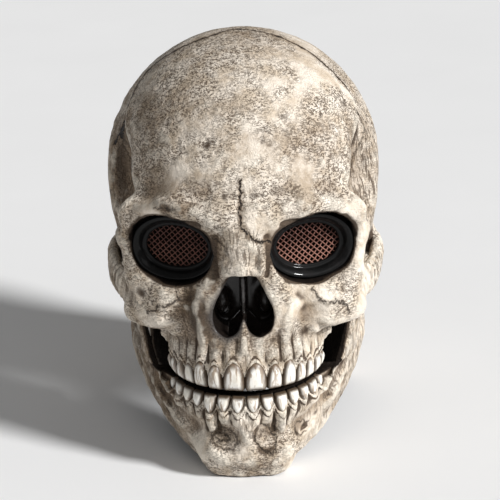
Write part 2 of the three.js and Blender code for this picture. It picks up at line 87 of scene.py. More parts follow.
def ellipsoid(x, y, z, c, r):
    u, v, w = (x - c[0]) / r[0], (y - c[1]) / r[1], (z - c[2]) / r[2]
    k = np.sqrt(u * u + v * v + w * w)
    slope = np.sqrt((u / r[0]) ** 2 + (v / r[1]) ** 2 + (w / r[2]) ** 2)
    return k * (k - 1) / np.maximum(slope, 1e-9)


def bar(x, y, z, a, b, ra, rb):
    d = np.subtract(b, a).astype(float)
    p = [x - a[0], y - a[1], z - a[2]]
    t = np.clip((p[0] * d[0] + p[1] * d[1] + p[2] * d[2]) / (d @ d), 0, 1)
    q = [p[i] - d[i] * t for i in range(3)]
    return np.sqrt(q[0] ** 2 + q[1] ** 2 + q[2] ** 2) - ra - (rb - ra) * t


def prism(x, y, half_width, half_depth, power):
    u, v = np.abs(x) / half_width, np.abs(y) / half_depth
    q = np.maximum((u**power + v**power) ** (1 / power), 1e-6)
    return np.sqrt(x * x + y * y) * (1 - 1 / q)


def smooth(t):
    t = np.clip(t, 0, 1)
    return t * t * (3 - 2 * t)


def polygon(p, q, points):
    """Signed distance to a closed outline in the plane of p and q, negative inside."""
    p, q = np.broadcast_arrays(p, q)
    best = np.full(p.shape, 1e9)
    inside = np.zeros(p.shape, bool)
    count = len(points)
    for i in range(count):
        (ax, ay), (bx, by) = points[i], points[(i + 1) % count]
        ex, ey = bx - ax, by - ay
        t = np.clip(((p - ax) * ex + (q - ay) * ey) / (ex * ex + ey * ey + 1e-12), 0, 1)
        best = np.minimum(best, (p - ax - ex * t) ** 2 + (q - ay - ey * t) ** 2)
        if abs(ey) > 1e-12:
            hit = ((ay > q) != (by > q)) & (p < ex * (q - ay) / ey + ax)
            inside ^= hit
    return np.where(inside, -1, 1) * np.sqrt(best)


def loop_curve(points, per_span):
    """Closed centripetal curve through the points."""
    pts = np.asarray(points, float)
    made = []
    for i in range(len(pts)):
        p0, p1, p2, p3 = (pts[(i + k) % len(pts)] for k in (-1, 0, 1, 2))
        d0, d1, d2 = (np.linalg.norm(b - a) ** 0.5 for a, b in ((p0, p1), (p1, p2), (p2, p3)))
        t1 = ((p1 - p0) / d0 - (p2 - p0) / (d0 + d1) + (p2 - p1) / d1) * d1
        t2 = ((p2 - p1) / d1 - (p3 - p1) / (d1 + d2) + (p3 - p2) / d2) * d1
        for s in np.arange(per_span) / per_span:
            a = 2 * s**3 - 3 * s**2 + 1
            b = s**3 - 2 * s**2 + s
            c = -2 * s**3 + 3 * s**2
            e = s**3 - s**2
            made.append(a * p1 + b * t1 + c * p2 + e * t2)
    return np.array(made)


# Grids
def axes_of(hi):
    """Grid lines of a half grid: x starts half a step beside the middle."""
    return tuple(np.arange(lo, top, STEP) for lo, top in zip((STEP / 2, -113, -2), hi))


def window(axes, lo, hi):
    """Index ranges and coordinates of the part of the grid inside a box."""
    spans = tuple(slice(*np.searchsorted(a, (l, h))) for a, l, h in zip(axes, lo, hi))
    x, y, z = (a[s].astype(np.float32) for a, s in zip(axes, spans))
    return spans, x[:, None, None], y[None, :, None], z[None, None, :]


def everywhere(axes):
    return window(axes, (-1e3,) * 3, (1e3,) * 3)


def levelled(field):
    gx, gy, gz = np.gradient(field, STEP)
    slope = np.sqrt(gx * gx + gy * gy + gz * gz)
    return field / np.maximum(slope, 0.35)


def raise_bump(field, axes, centre, radii, height):
    """Soft bump on the surface near a point, or a dent where the height is negative."""
    c, r = np.array(centre, float), np.array(radii, float)
    w, x, y, z = window(axes, c - 2.4 * r, c + 2.4 * r)
    q = ((x - c[0]) / r[0]) ** 2 + ((y - c[1]) / r[1]) ** 2 + ((z - c[2]) / r[2]) ** 2
    field[w] -= height * np.exp(-q)


def raise_line(field, axes, points, width, height):
    """Soft ridge along a line of points, or a groove where the height is negative."""
    pts = np.array(points, float)
    w, x, y, z = window(axes, pts.min(0) - 3 * width, pts.max(0) + 3 * width)
    if field[w].size == 0:
        return
    best = None
    for a, b in zip(pts[:-1], pts[1:]):
        d = bar(x, y, z, a, b, 0, 0)
        best = d if best is None else np.minimum(best, d)
    field[w] -= height * np.exp(-((best / width) ** 2))


def sculpt(field, axes, marks):
    """Each mark is a line of points and its width, or a centre and its radii, with a height."""
    for where, size, height in marks:
        (raise_line if isinstance(where, list) else raise_bump)(field, axes, where, size, height)


def skin_and_hollow(hi, outer, carve):
    """The carved and the plain skin, and the hollow a wall's thickness below both."""
    axes = axes_of(hi)
    d = levelled(outer(axes))
    plain = d.copy()
    carve(d, axes)
    return axes, d, plain, plain + np.maximum(d - plain, 0) + WALL


def hinge_discs(body, axes, lo, hi, discs):
    """Discs on the hinge's axis are cut from the body, or added to it where so marked."""
    w, x, y, z = window(axes, lo, hi)
    for added, radius, inner, outer in discs:
        across = np.sqrt(y * y + (z - HINGE_Z) ** 2) - radius
        disc = np.maximum(across, np.abs(x - (inner + outer) / 2) - (outer - inner) / 2)
        body[w] = np.minimum(body[w], disc) if added else np.maximum(body[w], -disc)


# Teeth along the dental arch: shares of the arch width, and of the reach to the gum
UPPER_TEETH = [(0.141, 1.0), (0.104, 0.88), (0.104, 0.93), (0.092, 0.72), (0.092, 0.66),
               (0.11, 0.6), (0.102, 0.5)]
LOWER_TEETH = [(0.095, 0.95), (0.093, 0.9), (0.098, 1.15), (0.092, 0.9), (0.092, 0.85),
               (0.11, 0.8), (0.108, 0.75)]
# How far and how high the root of each tooth shows in the bone
UPPER_ROOTS = [(16, 1.3), (14, 1.2), (24, 2.3), (19, 1.6), (17, 1.4), (14, 1.1), (11, 0.9)]
LOWER_ROOTS = [(12, 1.9), (12, 2.0), (18, 3.0), (13, 2.2), (11, 1.6), (9, 1.1), (8, 1.0)]
ARCH_INSET = 1.5
_t = np.linspace(0, math.pi / 2, 400)
_w, _d = DENTAL_W / 2 - ARCH_INSET, DENTAL_DEPTH - ARCH_INSET
_run = np.concatenate(([0], np.cumsum(np.hypot(
    _w * np.diff(np.sin(_t)), _d * np.diff(np.cos(_t))))))


def arch_length(x, y):
    """Length along the dental arch from the middle to the point nearest in angle."""
    t = np.arctan2(np.abs(x) / _w, np.maximum(-(y - DENTAL_BACK) / _d, 1e-6))
    return np.interp(t, _t, _run)


def arch_place(length):
    t = np.interp(length, _run, _t)
    normal = np.array([math.sin(t) / _w, -math.cos(t) / _d])
    at = np.array([_w * math.sin(t), DENTAL_BACK - _d * math.cos(t)])
    return at, normal / np.linalg.norm(normal)


def tooth_spans(teeth):
    start, spans = 0.0, []
    for share, height in teeth:
        spans.append((start + share * DENTAL_W / 2, share * DENTAL_W, height))
        start += share * DENTAL_W
    return spans


def gum_relief(field, axes, teeth, roots, bite, reach, way):
    """Bone steps back behind the teeth below a scalloped gum line, and roots stand out."""
    far = bite + way * (reach + 34)
    lo, hi = sorted((bite - way * 3, far))
    w, x, y, z = window(axes, (0, -113, lo), (DENTAL_W / 2 + 6, DENTAL_BACK + 10, hi))
    s = arch_length(x, y)
    up = (z - bite) * way
    gum = np.full_like(s, 0.45 * reach)
    ridge = np.zeros(np.broadcast_shapes(s.shape, z.shape))
    for (at, width, height), (length, proud) in zip(tooth_spans(teeth), roots):
        u = np.abs(s - at) / (width / 2)
        top = height * reach
        drop = 0.6 * top * u**1.7
        gum = np.where(u <= 1.0, top - drop, gum)
        rise = smooth((up - top + 3) / 4) * smooth((top + length - up) / (0.7 * length))
        ridge += proud * np.exp(-((u / 0.66) ** 2)) * rise
        ridge -= 0.45 * proud * np.exp(-(((u - 1) / 0.22) ** 2)) * rise
    below = gum - up
    keep = smooth((DENTAL_BACK + 8 - y) / 8)
    step = 2.4 * smooth(below / 1.3 + 0.5)
    lip = 0.9 * np.exp(-(((below + 1.6) / 1.2) ** 2))
    field[w] += (step - lip - ridge) * keep


def gum_shade(p, teeth, bite, reach, way):
    """Wash and painted shade that gather along the gum line, and along the fold beyond it."""
    s, up = arch_length(p[:, 0], p[:, 1]), (p[:, 2] - bite) * way
    gum = np.full(len(p), -9.0)
    for at, width, height in tooth_spans(teeth):
        u = np.abs(s - at) / (width / 2)
        gum = np.where(u <= 1.0, height * reach * (1 - 0.6 * u**1.7), gum)
    below = gum - up
    fold = 1.1 * np.exp(-(((below + 3.3) / 0.75) ** 2))
    line = 0.6 * np.exp(-(((below + 1.2) / 0.5) ** 2))
    return (fold + line) * (p[:, 1] < DENTAL_BACK + 4) * (gum > 0)


# Skull
def skull_outer(axes):
    w, x, y, z = everywhere(axes)
    middle = CROWN - CROWN_RISE
    length, centre_y = (FOREHEAD_REACH + BACK_REACH) / 2, (BACK_REACH - FOREHEAD_REACH) / 2
    d = ellipsoid(x, y, z, (0, centre_y, middle), (SKULL_WIDTH / 2, length, CROWN_RISE))
    d = union(d, ellipsoid(x, y, z, (0, 0, EYE[2] - 2), (TEMPLE_WIDTH / 2 + 10, 90, 75)), 10)
    neck_y = BACK_REACH - NECK_WIDTH / 2 - 4
    neck = ellipsoid(x, y, z, (0, neck_y, 60), (NECK_WIDTH / 2, NECK_WIDTH / 2 + 4, 160))
    d = union(d, neck, 14)
    wall = np.maximum(prism(x, y + 8, CHEEK_WALL / 2, 74, 1.9), np.abs(z - HINGE_Z) - 22)
    d = union(d, wall, 6)
    d = union(d, ellipsoid(x, y, z, (SKULL_WIDTH / 2 - 20, 30, HINGE_Z + 5), (20, 18, 27)), 10)
    d = cut(d, ellipsoid(x, y, z, (SKULL_WIDTH / 2 + 3, -44, middle + 10), (24, 28, 46)), 5)
    for a, b, ra, rb, k in (
        ((-1.28, -0.44, 1.2), (-0.3, -0.2, 1.42), 1, 0.95, 12),
        ((-0.3, -0.2, 1.42), (0.85, 0.46, 0.96), 0.95, 0.8, 10),
        ((0.88, 0.52, 0.98), (0.98, 0.67, 0.22), 0.75, 0.72, 7),
        ((0.98, 0.67, 0.22), (0.82, 0.5, -1.03), 0.72, 0.75, 7),
        ((0.82, 0.5, -1.03), (0.1, 0.02, -1.36), 0.75, 0.78, 7),
        ((0.1, 0.02, -1.36), (-0.6, -0.2, -0.92), 0.78, 0.8, 7),
    ):
        unit = np.array([SOCKET_W / 2, SOCKET_W / 2, SOCKET_H / 2])
        d = union(d, bar(x, y, z, EYE + a * unit, EYE + b * unit, ra * BROW, rb * BROW), k)
    inner = (EYE[0] + 0.05 * SOCKET_W, EYE[1] + 2, CHEEK_Z)
    outer = (EYE[0] + 0.36 * SOCKET_W, EYE[1] + 14, CHEEK_Z)
    d = union(d, bar(x, y, z, inner, outer, CHEEK_R, CHEEK_R - 1), 8)
    top = NOSE_FOOT + 0.3 * NOSE_H
    lean = (z - MOUTH_Z - UPPER_REACH) / (top - MOUTH_Z)
    muzzle = prism(x, y - DENTAL_BACK, (DENTAL_W / 2 - 2) * (1 - 0.12 * lean),
                   (DENTAL_DEPTH - 1) * (1 - 0.16 * np.maximum(lean, 0)), 2)
    d = union(d, cut(muzzle, top + 6 - z, 16), 10)
    tip = (0, -NOSE_REACH + 9, NOSE_FOOT + NOSE_H + 3)
    d = union(d, bar(x, y, z, (0, EYE[1] - 7, EYE[2] + 24), tip, 13, 8.5), 10)
    strut = ((0.35 * NOSE_W, EYE[1] - 10, EYE[2] + 6), (0.68 * NOSE_W, EYE[1] - 12, NOSE_FOOT + 6))
    return union(d, bar(x, y, z, *strut, 8, 8), 8).astype(np.float32)


# Edge of the forehead above the temple, as (y, z) seen from the side
TEMPLE_LINE = [(-4, 226), (-14, 214), (-27, 204), (-39, 192), (-57, 179), (-66, 168), (-66, 152)]


# Low relief of the bone that the photo shows
SKULL_MARKS = [
    # The brow flows into the nose bone, with a dip above and a step at each side
    ((0, -98, 159), (11, 9, 12), 2.6),
    ((17, -96, 172), (11, 12, 8), 2.2),
    ((0, -96, 186), (16, 12, 9), -1.2),
    ((0, -99, 172), (3.2, 8, 8), -1.0),
    ([(6, -101, 150), (10, -100, 143), (10.5, -99, 134)], 3.0, 1.6),
    ([(15, -96, 154), (15.5, -94, 142), (15, -93, 130)], 2.8, -2.2),
    # Brow edge over the socket and the hollow above it
    ([(18, -97, 165), (26, -95, 171), (36, -92, 171), (48, -86, 173),
      (61, -75, 166)], 3.6, 2.6),
    ([(24, -94, 163), (40, -89, 165.5), (56, -79, 161)], 2.2, -1.7),
    ([(22, -94, 181), (42, -87, 184), (60, -73, 178)], 6.5, -2.6),
    ([(66, -66, 162), (70, -60, 148), (68, -62, 132), (60, -72, 118)], 4.5, 1.8),
    # Cheekbone, its lower edge and the hollows under it
    ([(38, -87, 115), (52, -85, 110), (64, -77, 106)], 5, 2.2),
    ([(50, -82, 96), (60, -76, 93), (70, -64, 95)], 4, 1.6),
    ((47, -88, 101), (6, 6, 3.4), -2.2),
    ((35, -90, 109), (4, 6, 4), 1.8),
    ((66, -73, 111), (5, 6, 5), 1.8),
    ([(38, -90, 98), (44, -87, 94), (50, -80, 90)], 4, -2.4),
    ([(43, -90, 103), (35, -94, 99), (33, -95, 88)], 4.2, -3.0),
    ([(30, -96, 112), (26, -98, 100), (24, -99, 90)], 3.2, 1.4),
    ([(43, -88, 92), (46, -82, 84), (48, -74, 76)], 4, 2.0),
    ([(38, -92, 110), (28, -96, 118), (20, -96, 126)], 4, 1.2),
    # Sharp rim round the nose opening and the spine under it
    ([(9, -100, 134), (13, -97, 122), (19, -94, 112), (21, -94, 103),
      (17, -96, 93), (8, -101, 91)], 3.0, 1.7),
    ([(0, -104, 92), (0, -106, 86)], 2.6, 2.4),
    ([(5, -104, 91), (6, -105, 81)], 3.0, -1.8),
    ([(0, -107, 82), (0, -108, 74)], 1.4, -1.2),
    # Side of the skull behind the temple
    ([(80, -12, 204), (75, -27, 186), (71, -31, 168)], 2.4, -1.8),
    ([(84, 2, 196), (81, -14, 176), (78, -20, 152)], 8, 1.8),
]


def sculpt_skull(d, axes):
    """Crisp edge of the forehead with the temple sunk behind it, then the marks."""
    w, x, y, z = window(axes, (46, -78, 144), (90, 20, 232))
    best, side = None, None
    for (ay, az), (by, bz) in zip(TEMPLE_LINE[:-1], TEMPLE_LINE[1:]):
        ey, ez = by - ay, bz - az
        t = np.clip(((y - ay) * ey + (z - az) * ez) / (ey * ey + ez * ez), 0, 1)
        dist = np.sqrt((y - ay - ey * t) ** 2 + (z - az - ez * t) ** 2)
        away = (ey * (z - az) - ez * (y - ay)) / math.hypot(ey, ez)
        best, side = (dist, away) if best is None else (
            np.minimum(best, dist), np.where(dist < best, away, side))
    behind = np.where(side > 0, best, -best)
    fade = smooth((228 - z) / 30) * smooth((x - 46) / 8) * smooth((z - 144) / 14) * (
        smooth((20 - y) / 20))
    d[w] += fade * (5.2 * smooth(behind / 2.4 + 0.3) * np.exp(-np.maximum(behind, 0) / 15)
                    - 1.5 * np.exp(-(((behind + 3.5) / 3.5) ** 2)))
    sculpt(d, axes, SKULL_MARKS)


def arch_bars():
    outer = ARCH_WIDTH / 2 - ARCH_T / 2
    cheek = (EYE[0] + 0.36 * SOCKET_W, EYE[1] + 14)
    route = np.array([
        (cheek[0] + 4, cheek[1] + 2, CHEEK_Z + 6),
        (outer - 4, -46, ARCH_Z - 3),
        (outer, -26, ARCH_Z),
        (outer, -6, ARCH_Z),
        (outer - 8, 22, ARCH_Z - 2),
    ])
    ends = [2 * route[0] - route[1], *route, 2 * route[-1] - route[-2]]
    points = []
    for i in range(1, len(ends) - 2):
        p0, p1, p2, p3 = ends[i - 1 : i + 3]
        for s in np.arange(5) / 5:
            points.append(0.5 * (2 * p1 + (p2 - p0) * s + (2 * p0 - 5 * p1 + 4 * p2 - p3) * s**2
                                 + (3 * p1 - p0 - 3 * p2 + p3) * s**3))
    points.append(route[-1])
    return np.array(points)


def socket_local(x, y, z):
    c, s = math.cos(SOCKET_TURN), math.sin(SOCKET_TURN)
    u = (x - EYE[0]) * c + (y - EYE[1]) * s
    out = (x - EYE[0]) * s - (y - EYE[1]) * c
    return u, z - EYE[2], out


SOCKET_OUTLINE = [(-1.08, 0.14), (-0.8, 0.72), (-0.26, 1.0), (0.42, 0.94), (0.88, 0.5),
                  (1.0, -0.1), (0.8, -0.68), (0.23, -1.0), (-0.48, -0.9), (-0.95, -0.44)]
NOSE_OUTLINE = [(0, 1.0), (0.34, 0.98), (0.58, 0.76), (0.9, 0.52), (1.02, 0.3), (0.88, 0.08),
                (0.52, 0.0), (0.22, 0.08), (0, 0.27)]


def socket_loop(inset, per_span=8):
    half = np.array([SOCKET_W / 2 - inset, SOCKET_H / 2 - inset])
    return loop_curve(np.array(SOCKET_OUTLINE) * half, per_span)


def socket_field(x, y, z, inset):
    """Distance to the socket's wall, from its outline read as a radius at each angle."""
    u, v, _ = socket_local(x, y, z)
    ring = socket_loop(inset)
    angle = np.unwrap(np.arctan2(ring[:, 1], ring[:, 0]))
    radius = np.hypot(*ring.T)
    order = np.argsort(np.mod(angle, 2 * math.pi))
    at = np.mod(angle, 2 * math.pi)[order]
    wide = np.interp(np.mod(np.arctan2(v, u), 2 * math.pi), at, radius[order], period=2 * math.pi)
    return (np.hypot(u, v) - wide) * 0.93


def nose_points(outset):
    right = [(o * NOSE_W / 2 + (outset if o > 0 else 0),
              NOSE_FOOT + up * NOSE_H + outset * (2 * up - 1)) for o, up in NOSE_OUTLINE]
    return right + [(-a, b) for a, b in right[-2:0:-1]]


def build_skull():
    axes, d, smooth_skin, hollow = skin_and_hollow((88.5, 113.5, 255), skull_outer, sculpt_skull)
    gum_relief(d, axes, UPPER_TEETH, UPPER_ROOTS, BITE_UP, UPPER_REACH, 1)
    # Cheekbone arch
    bars = arch_bars()
    for a, b in zip(bars[:-1], bars[1:]):
        lo, hi = np.minimum(a, b) - 14, np.maximum(a, b) + 14
        w, x, y, z = window(axes, lo, hi)
        along = (b - a) / np.linalg.norm(b - a)
        side = np.cross((0, 0, 1), along)
        side /= np.linalg.norm(side)
        up = np.cross(along, side)
        p = (x - a[0], y - a[1], z - a[2])
        s, u, t = (sum(p[i] * axis[i] for i in range(3)) for axis in (side, up, along))
        over = np.maximum(np.maximum(-t, t - np.linalg.norm(b - a)), 0)
        flat = np.hypot(s / (ARCH_T / 2), u / (ARCH_H / 2))
        strap = (flat - 1) * ARCH_T / 2 * 0.85
        d[w] = union(d[w], np.hypot(np.maximum(strap, 0), over) + np.minimum(strap, 0), 4)
    # Hollow, kept solid round the sockets, the nose pocket and behind the upper teeth
    w, x, y, z = window(axes, (5, -113, 100), (88, -30, 180))
    _, _, out = socket_local(x, y, z)
    collar = np.maximum(socket_field(x, y, z, -WALL), -SOCKET_WALL - out)
    hollow[w] = np.maximum(hollow[w], -collar)
    pocket_back = -NOSE_REACH + 14 + NOSE_POCKET
    w, x, y, z = window(axes, (0, -113, 80), (30, -60, 145))
    nose_wall = polygon(x, z, nose_points(WALL))
    hollow[w] = np.maximum(hollow[w], -np.maximum(nose_wall, y - pocket_back - WALL))
    w, x, y, z = everywhere(axes)
    shelf = np.maximum(y - DENTAL_BACK - 2, z - BITE_UP - WALL)
    hollow = np.maximum(hollow, -shelf)
    body = np.maximum(d, -hollow)
    behind = np.maximum(prism(x, y - DENTAL_BACK, DENTAL_W / 2 - LEDGE, DENTAL_DEPTH - LEDGE, 2),
                        np.abs(z - 46) - (BITE_UP + 12 - 46))
    body = np.maximum(body, -behind)
    # Sockets, nose and septum
    w, x, y, z = window(axes, (5, -113, 100), (88, -20, 180))
    body[w] = cut(body[w], socket_field(x, y, z, 0), 2.4 + 5 * smooth((z - EYE[2]) / 14))
    w, x, y, z = window(axes, (0, -113, 80), (30, -60, 145))
    nose = polygon(x, z, loop_curve(nose_points(0), 5))
    body[w] = cut(body[w], np.maximum(nose, y - pocket_back), 1.8)
    body[w] = union(body[w], ellipsoid(x, y, z, (13, pocket_back + 1, 107), (5, 8, 9)), 3)
    septum = np.maximum(np.maximum(x - SEPTUM / 2, NOSE_FOOT - 2 - z), z - NOSE_FOOT - NOSE_H - 2)
    front = -89 - 0.12 * (z - 112)
    septum = np.maximum(septum, np.maximum(front - y, y - pocket_back - 1))
    body[w] = union(body[w], septum, 1.5)
    # Lower edge
    w, x, y, z = everywhere(axes)
    under = [(-160, -60), (-160, BITE_UP), (DENTAL_BACK + 3, BITE_UP),
             (DENTAL_BACK + 6, CHEEK_Z - 20), (DENTAL_BACK + 12, CHEEK_Z - 12),
             (-16, HINGE_Z - 13), (12, HINGE_Z - 13), (20, HINGE_Z - 34),
             (NECK_RIM_START - 26, 30), (NECK_RIM_START, 0), (160, 0), (160, -60)]
    body = cut(body, polygon(y[0], z[0], under)[None], EDGE_ROUND)
    hinge_discs(body, axes, (60, -40, 60), (88, 40, 136), (
        (True, BOSS_R, HINGE_X - WALL - 1, HINGE_X),
        (False, 30, HINGE_X, HINGE_X + WALL + 2 * GAP),
        (False, RIVET_HOLE, 30, 100)))
    return axes, body, d, smooth_skin


# Jaw
def jaw_outer(axes):
    w, x, y, z = everywhere(axes)
    rise = np.clip(z / MOUTH_Z, 0, 1)
    half = (JAW_FOOT + (JAW_W - JAW_FOOT) * rise) / 2
    back = -JAW_CORNER + 2
    tuck = CHIN_TUCK * np.clip(1 - z / (2 * CHIN), 0, 1) ** 2
    d = prism(x, y - back, half, JAW_REACH + back - tuck, 1.6)
    chin_y = -JAW_REACH + 19
    slope = JAW_BORDER / (-JAW_CORNER - chin_y)
    d = cut(d, -((y - chin_y) * slope - z) / math.hypot(1, slope), 6)
    from_chin = np.maximum(x - 0.11 * JAW_FOOT, 0)
    chin = ellipsoid(from_chin, y, z, (0, -JAW_REACH + CHIN + 2, CHIN + 4),
                     (CHIN + 4, CHIN, CHIN + 7))
    d = union(d, chin, 10)
    gum = prism(x, y - DENTAL_BACK, DENTAL_W / 2 - 3, DENTAL_DEPTH - 2, 2)
    band = np.abs(z - MOUTH_Z + LOWER_REACH) - 10
    return union(d, cut(gum, -band, 8), 8).astype(np.float32)


JAW_MARKS = [
    # Ridge between the front teeth and down to the chin, with a hollow at each side
    ([(0, -106, 41), (0, -107, 28)], 3.0, 2.8),
    ([(1, -107, 33), (8, -106, 43)], 2.4, 2.0),
    ([(22, -100, 44), (21, -101, 33)], 3.0, 2.2),
    ((14, -104, 30), (8, 9, 9), -2.4),
    # Rim of the chin
    ([(0, -106, 12), (14, -104, 13), (26, -98, 15)], 5, 1.8),
    ((0, -108, 5), (5, 8, 5), -1.6),
    ((22, -100, 20), (5, 6, 4), 1.4),
    # Hollows and ridges on the body of the jaw
    ((33, -88, 29), (4, 5, 5), -2.4),
    ((36, -83, 24), (3, 4, 2.5), -1.6),
    ([(30, -91, 18), (44, -77, 26), (56, -58, 38)], 4.0, 2.0),
    ([(38, -84, 32), (52, -66, 42), (60, -50, 54)], 4.2, -3.4),
    ([(42, -82, 42), (54, -66, 52)], 2.6, 2.2),
    ([(50, -70, 34), (60, -52, 44)], 2.4, 1.6),
    ([(68, -28, 96), (65, -40, 76), (58, -54, 60)], 3.5, 2.0),
    ([(72, -14, 92), (71, -20, 70), (66, -32, 52)], 5, -2.2),
    ([(70, -4, 80), (66, -12, 56), (60, -24, 44)], 4, 1.4),
]


def sculpt_jaw(d, axes):
    sculpt(d, axes, JAW_MARKS)


def build_jaw():
    axes, d, smooth_skin, hollow = skin_and_hollow((78, 13, 111), jaw_outer, sculpt_jaw)
    gum_relief(d, axes, LOWER_TEETH, LOWER_ROOTS, BITE_LOW, LOWER_REACH, -1)
    w, x, y, z = everywhere(axes)
    hollow = np.maximum(hollow, -np.maximum(y - DENTAL_BACK - 2, BITE_LOW - WALL - z))
    hollow = np.maximum(hollow, WALL - z + 0 * x)
    body = np.maximum(d, -hollow)
    ledge = LEDGE + 2.6  # closes the view through the slot
    behind = np.maximum(prism(x, y - DENTAL_BACK, DENTAL_W / 2 - ledge, DENTAL_DEPTH - ledge, 2),
                        CHIN - z)
    body = np.maximum(body, -behind)
    floor = prism(x, y + JAW_CORNER, JAW_W / 2 - WALL - 8, JAW_FLOOR - JAW_CORNER, 2)
    body = np.maximum(body, -floor - 0 * z)
    outline = [(-160, 0), (-JAW_REACH + 45, 0), (-JAW_CORNER + 4, JAW_BORDER - 7),
               (-JAW_CORNER + 11, JAW_BORDER + 8), (7, HINGE_Z - 18), (BOSS_R, HINGE_Z - 2),
               (5, HINGE_Z + 8), (-6, HINGE_Z + 8), (-20, HINGE_Z - 14), (-30, HINGE_Z - 12),
               (-38, HINGE_Z - 9), (-44, HINGE_Z - 18), (DENTAL_BACK + 6, BITE_LOW + 10),
               (DENTAL_BACK, BITE_LOW), (-160, BITE_LOW)]
    body = cut(body, -polygon(y[0], z[0], outline)[None], EDGE_ROUND)
    plate = HINGE_X + GAP
    hinge_discs(body, axes, (30, -40, 60), (78, 40, 136), (
        (False, 15, plate + WALL, plate + WALL + 20),
        (True, BOSS_R, plate, plate + WALL),
        (False, 30, 39, plate),
        (False, RIVET_HOLE, 30, 100)))
    return axes, body, d, smooth_skin


# Meshes from grids
def mirrored(half):
    return np.concatenate((half[::-1], half))


def surface(field, origin):
    """Surface nets: one vertex in each cell that the surface crosses."""
    inside = field < 0
    n = np.array(field.shape) - 1
    corner = [(i, j, k) for i in (0, 1) for j in (0, 1) for k in (0, 1)]
    count = np.zeros(n, np.uint8)
    for i, j, k in corner:
        count += inside[i : n[0] + i, j : n[1] + j, k : n[2] + k]
    cells = np.argwhere((count > 0) & (count < 8))
    values = [field[cells[:, 0] + i, cells[:, 1] + j, cells[:, 2] + k] for i, j, k in corner]
    total = np.zeros((len(cells), 3))
    hits = np.zeros(len(cells))
    for a in range(8):
        for b in range(a + 1, 8):
            if sum(p != q for p, q in zip(corner[a], corner[b])) != 1:
                continue
            crossed = (values[a] < 0) != (values[b] < 0)
            t = values[a] / np.where(crossed, values[a] - values[b], 1)
            p, q = np.array(corner[a]), np.array(corner[b])
            total += np.where(crossed[:, None], p + (q - p) * t[:, None], 0)
            hits += crossed
    places = (cells + total / hits[:, None]) * STEP + origin
    number = np.full(n, -1, np.int32)
    number[tuple(cells.T)] = np.arange(len(cells))
    faces = []
    for axis in range(3):
        u, v = (axis + 1) % 3, (axis + 2) % 3
        first = inside.take(range(0, n[axis]), axis)
        second = inside.take(range(1, n[axis] + 1), axis)
        at = np.argwhere(first != second)
        at = at[(at[:, u] > 0) & (at[:, v] > 0) & (at[:, u] < n[u]) & (at[:, v] < n[v])]
        quad = []
        for du, dv in ((-1, -1), (0, -1), (0, 0), (-1, 0)):
            c = at.copy()
            c[:, u] += du
            c[:, v] += dv
            quad.append(number[tuple(c.T)])
        quad = np.stack(quad, 1)
        turned = first[tuple(at.T)]
        quad[~turned] = quad[~turned][:, ::-1]
        faces.append(quad)
    return places, np.concatenate(faces)


def blend_corners(grid, i, f):
    """Trilinear mix of the eight grid values round each point; the grid repeats."""
    total = np.zeros(len(i))
    for corner in np.ndindex(2, 2, 2):
        u, v, w = (f[:, k] if corner[k] else 1 - f[:, k] for k in range(3))
        total += u * v * w * grid[tuple(((i + corner) % grid.shape).T)]
    return total


def sample(grid, origin, points):
    """Value of a grid at points."""
    p = (points - origin) / STEP
    i = np.clip(np.floor(p).astype(int), 0, np.array(grid.shape) - 2)
    return blend_corners(grid, i, np.clip(p - i, 0, 1))


def box_blur(grid, reach):
    for axis in range(3):
        pad = [(0, 0)] * 3
        pad[axis] = (reach + 1, reach)
        run = np.cumsum(np.pad(grid, pad, mode="edge"), axis, dtype=np.float32)
        width = 2 * reach + 1
        grid = (run.take(range(width, run.shape[axis]), axis)
                - run.take(range(0, run.shape[axis] - width), axis)) / width
    return grid


def new_mesh(name, places, faces, shade=True):
    mesh = bpy.data.meshes.new(name)
    faces = np.asarray(faces)
    sides = faces.shape[1]
    mesh.vertices.add(len(places))
    mesh.vertices.foreach_set("co", (np.asarray(places) * MM).astype(np.float32).ravel())
    mesh.loops.add(faces.size)
    mesh.loops.foreach_set("vertex_index", faces.astype(np.int32).ravel())
    mesh.polygons.add(len(faces))
    mesh.polygons.foreach_set("loop_start", np.arange(0, faces.size, sides, dtype=np.int32))
    mesh.update(calc_edges=True)
    mesh.validate()
    if shade:
        mesh.shade_smooth()
    made = bpy.data.objects.new(name, mesh)
    bpy.context.scene.collection.objects.link(made)
    return made


def attributes(obj, **named):
    for name, values in named.items():
        layer = obj.data.attributes.new(name, "FLOAT", "POINT")
        layer.data.foreach_set("value", np.asarray(values, np.float32))


def read_vertices(obj, key):
    values = np.zeros(len(obj.data.vertices) * 3, np.float32)
    obj.data.vertices.foreach_get(key, values)
    return values.reshape(-1, 3).astype(float)


def coordinates(obj):
    return read_vertices(obj, "co") / MM


def move_vertices(obj, places):
    obj.data.vertices.foreach_set("co", (places * MM).astype(np.float32).ravel())
    obj.data.update()


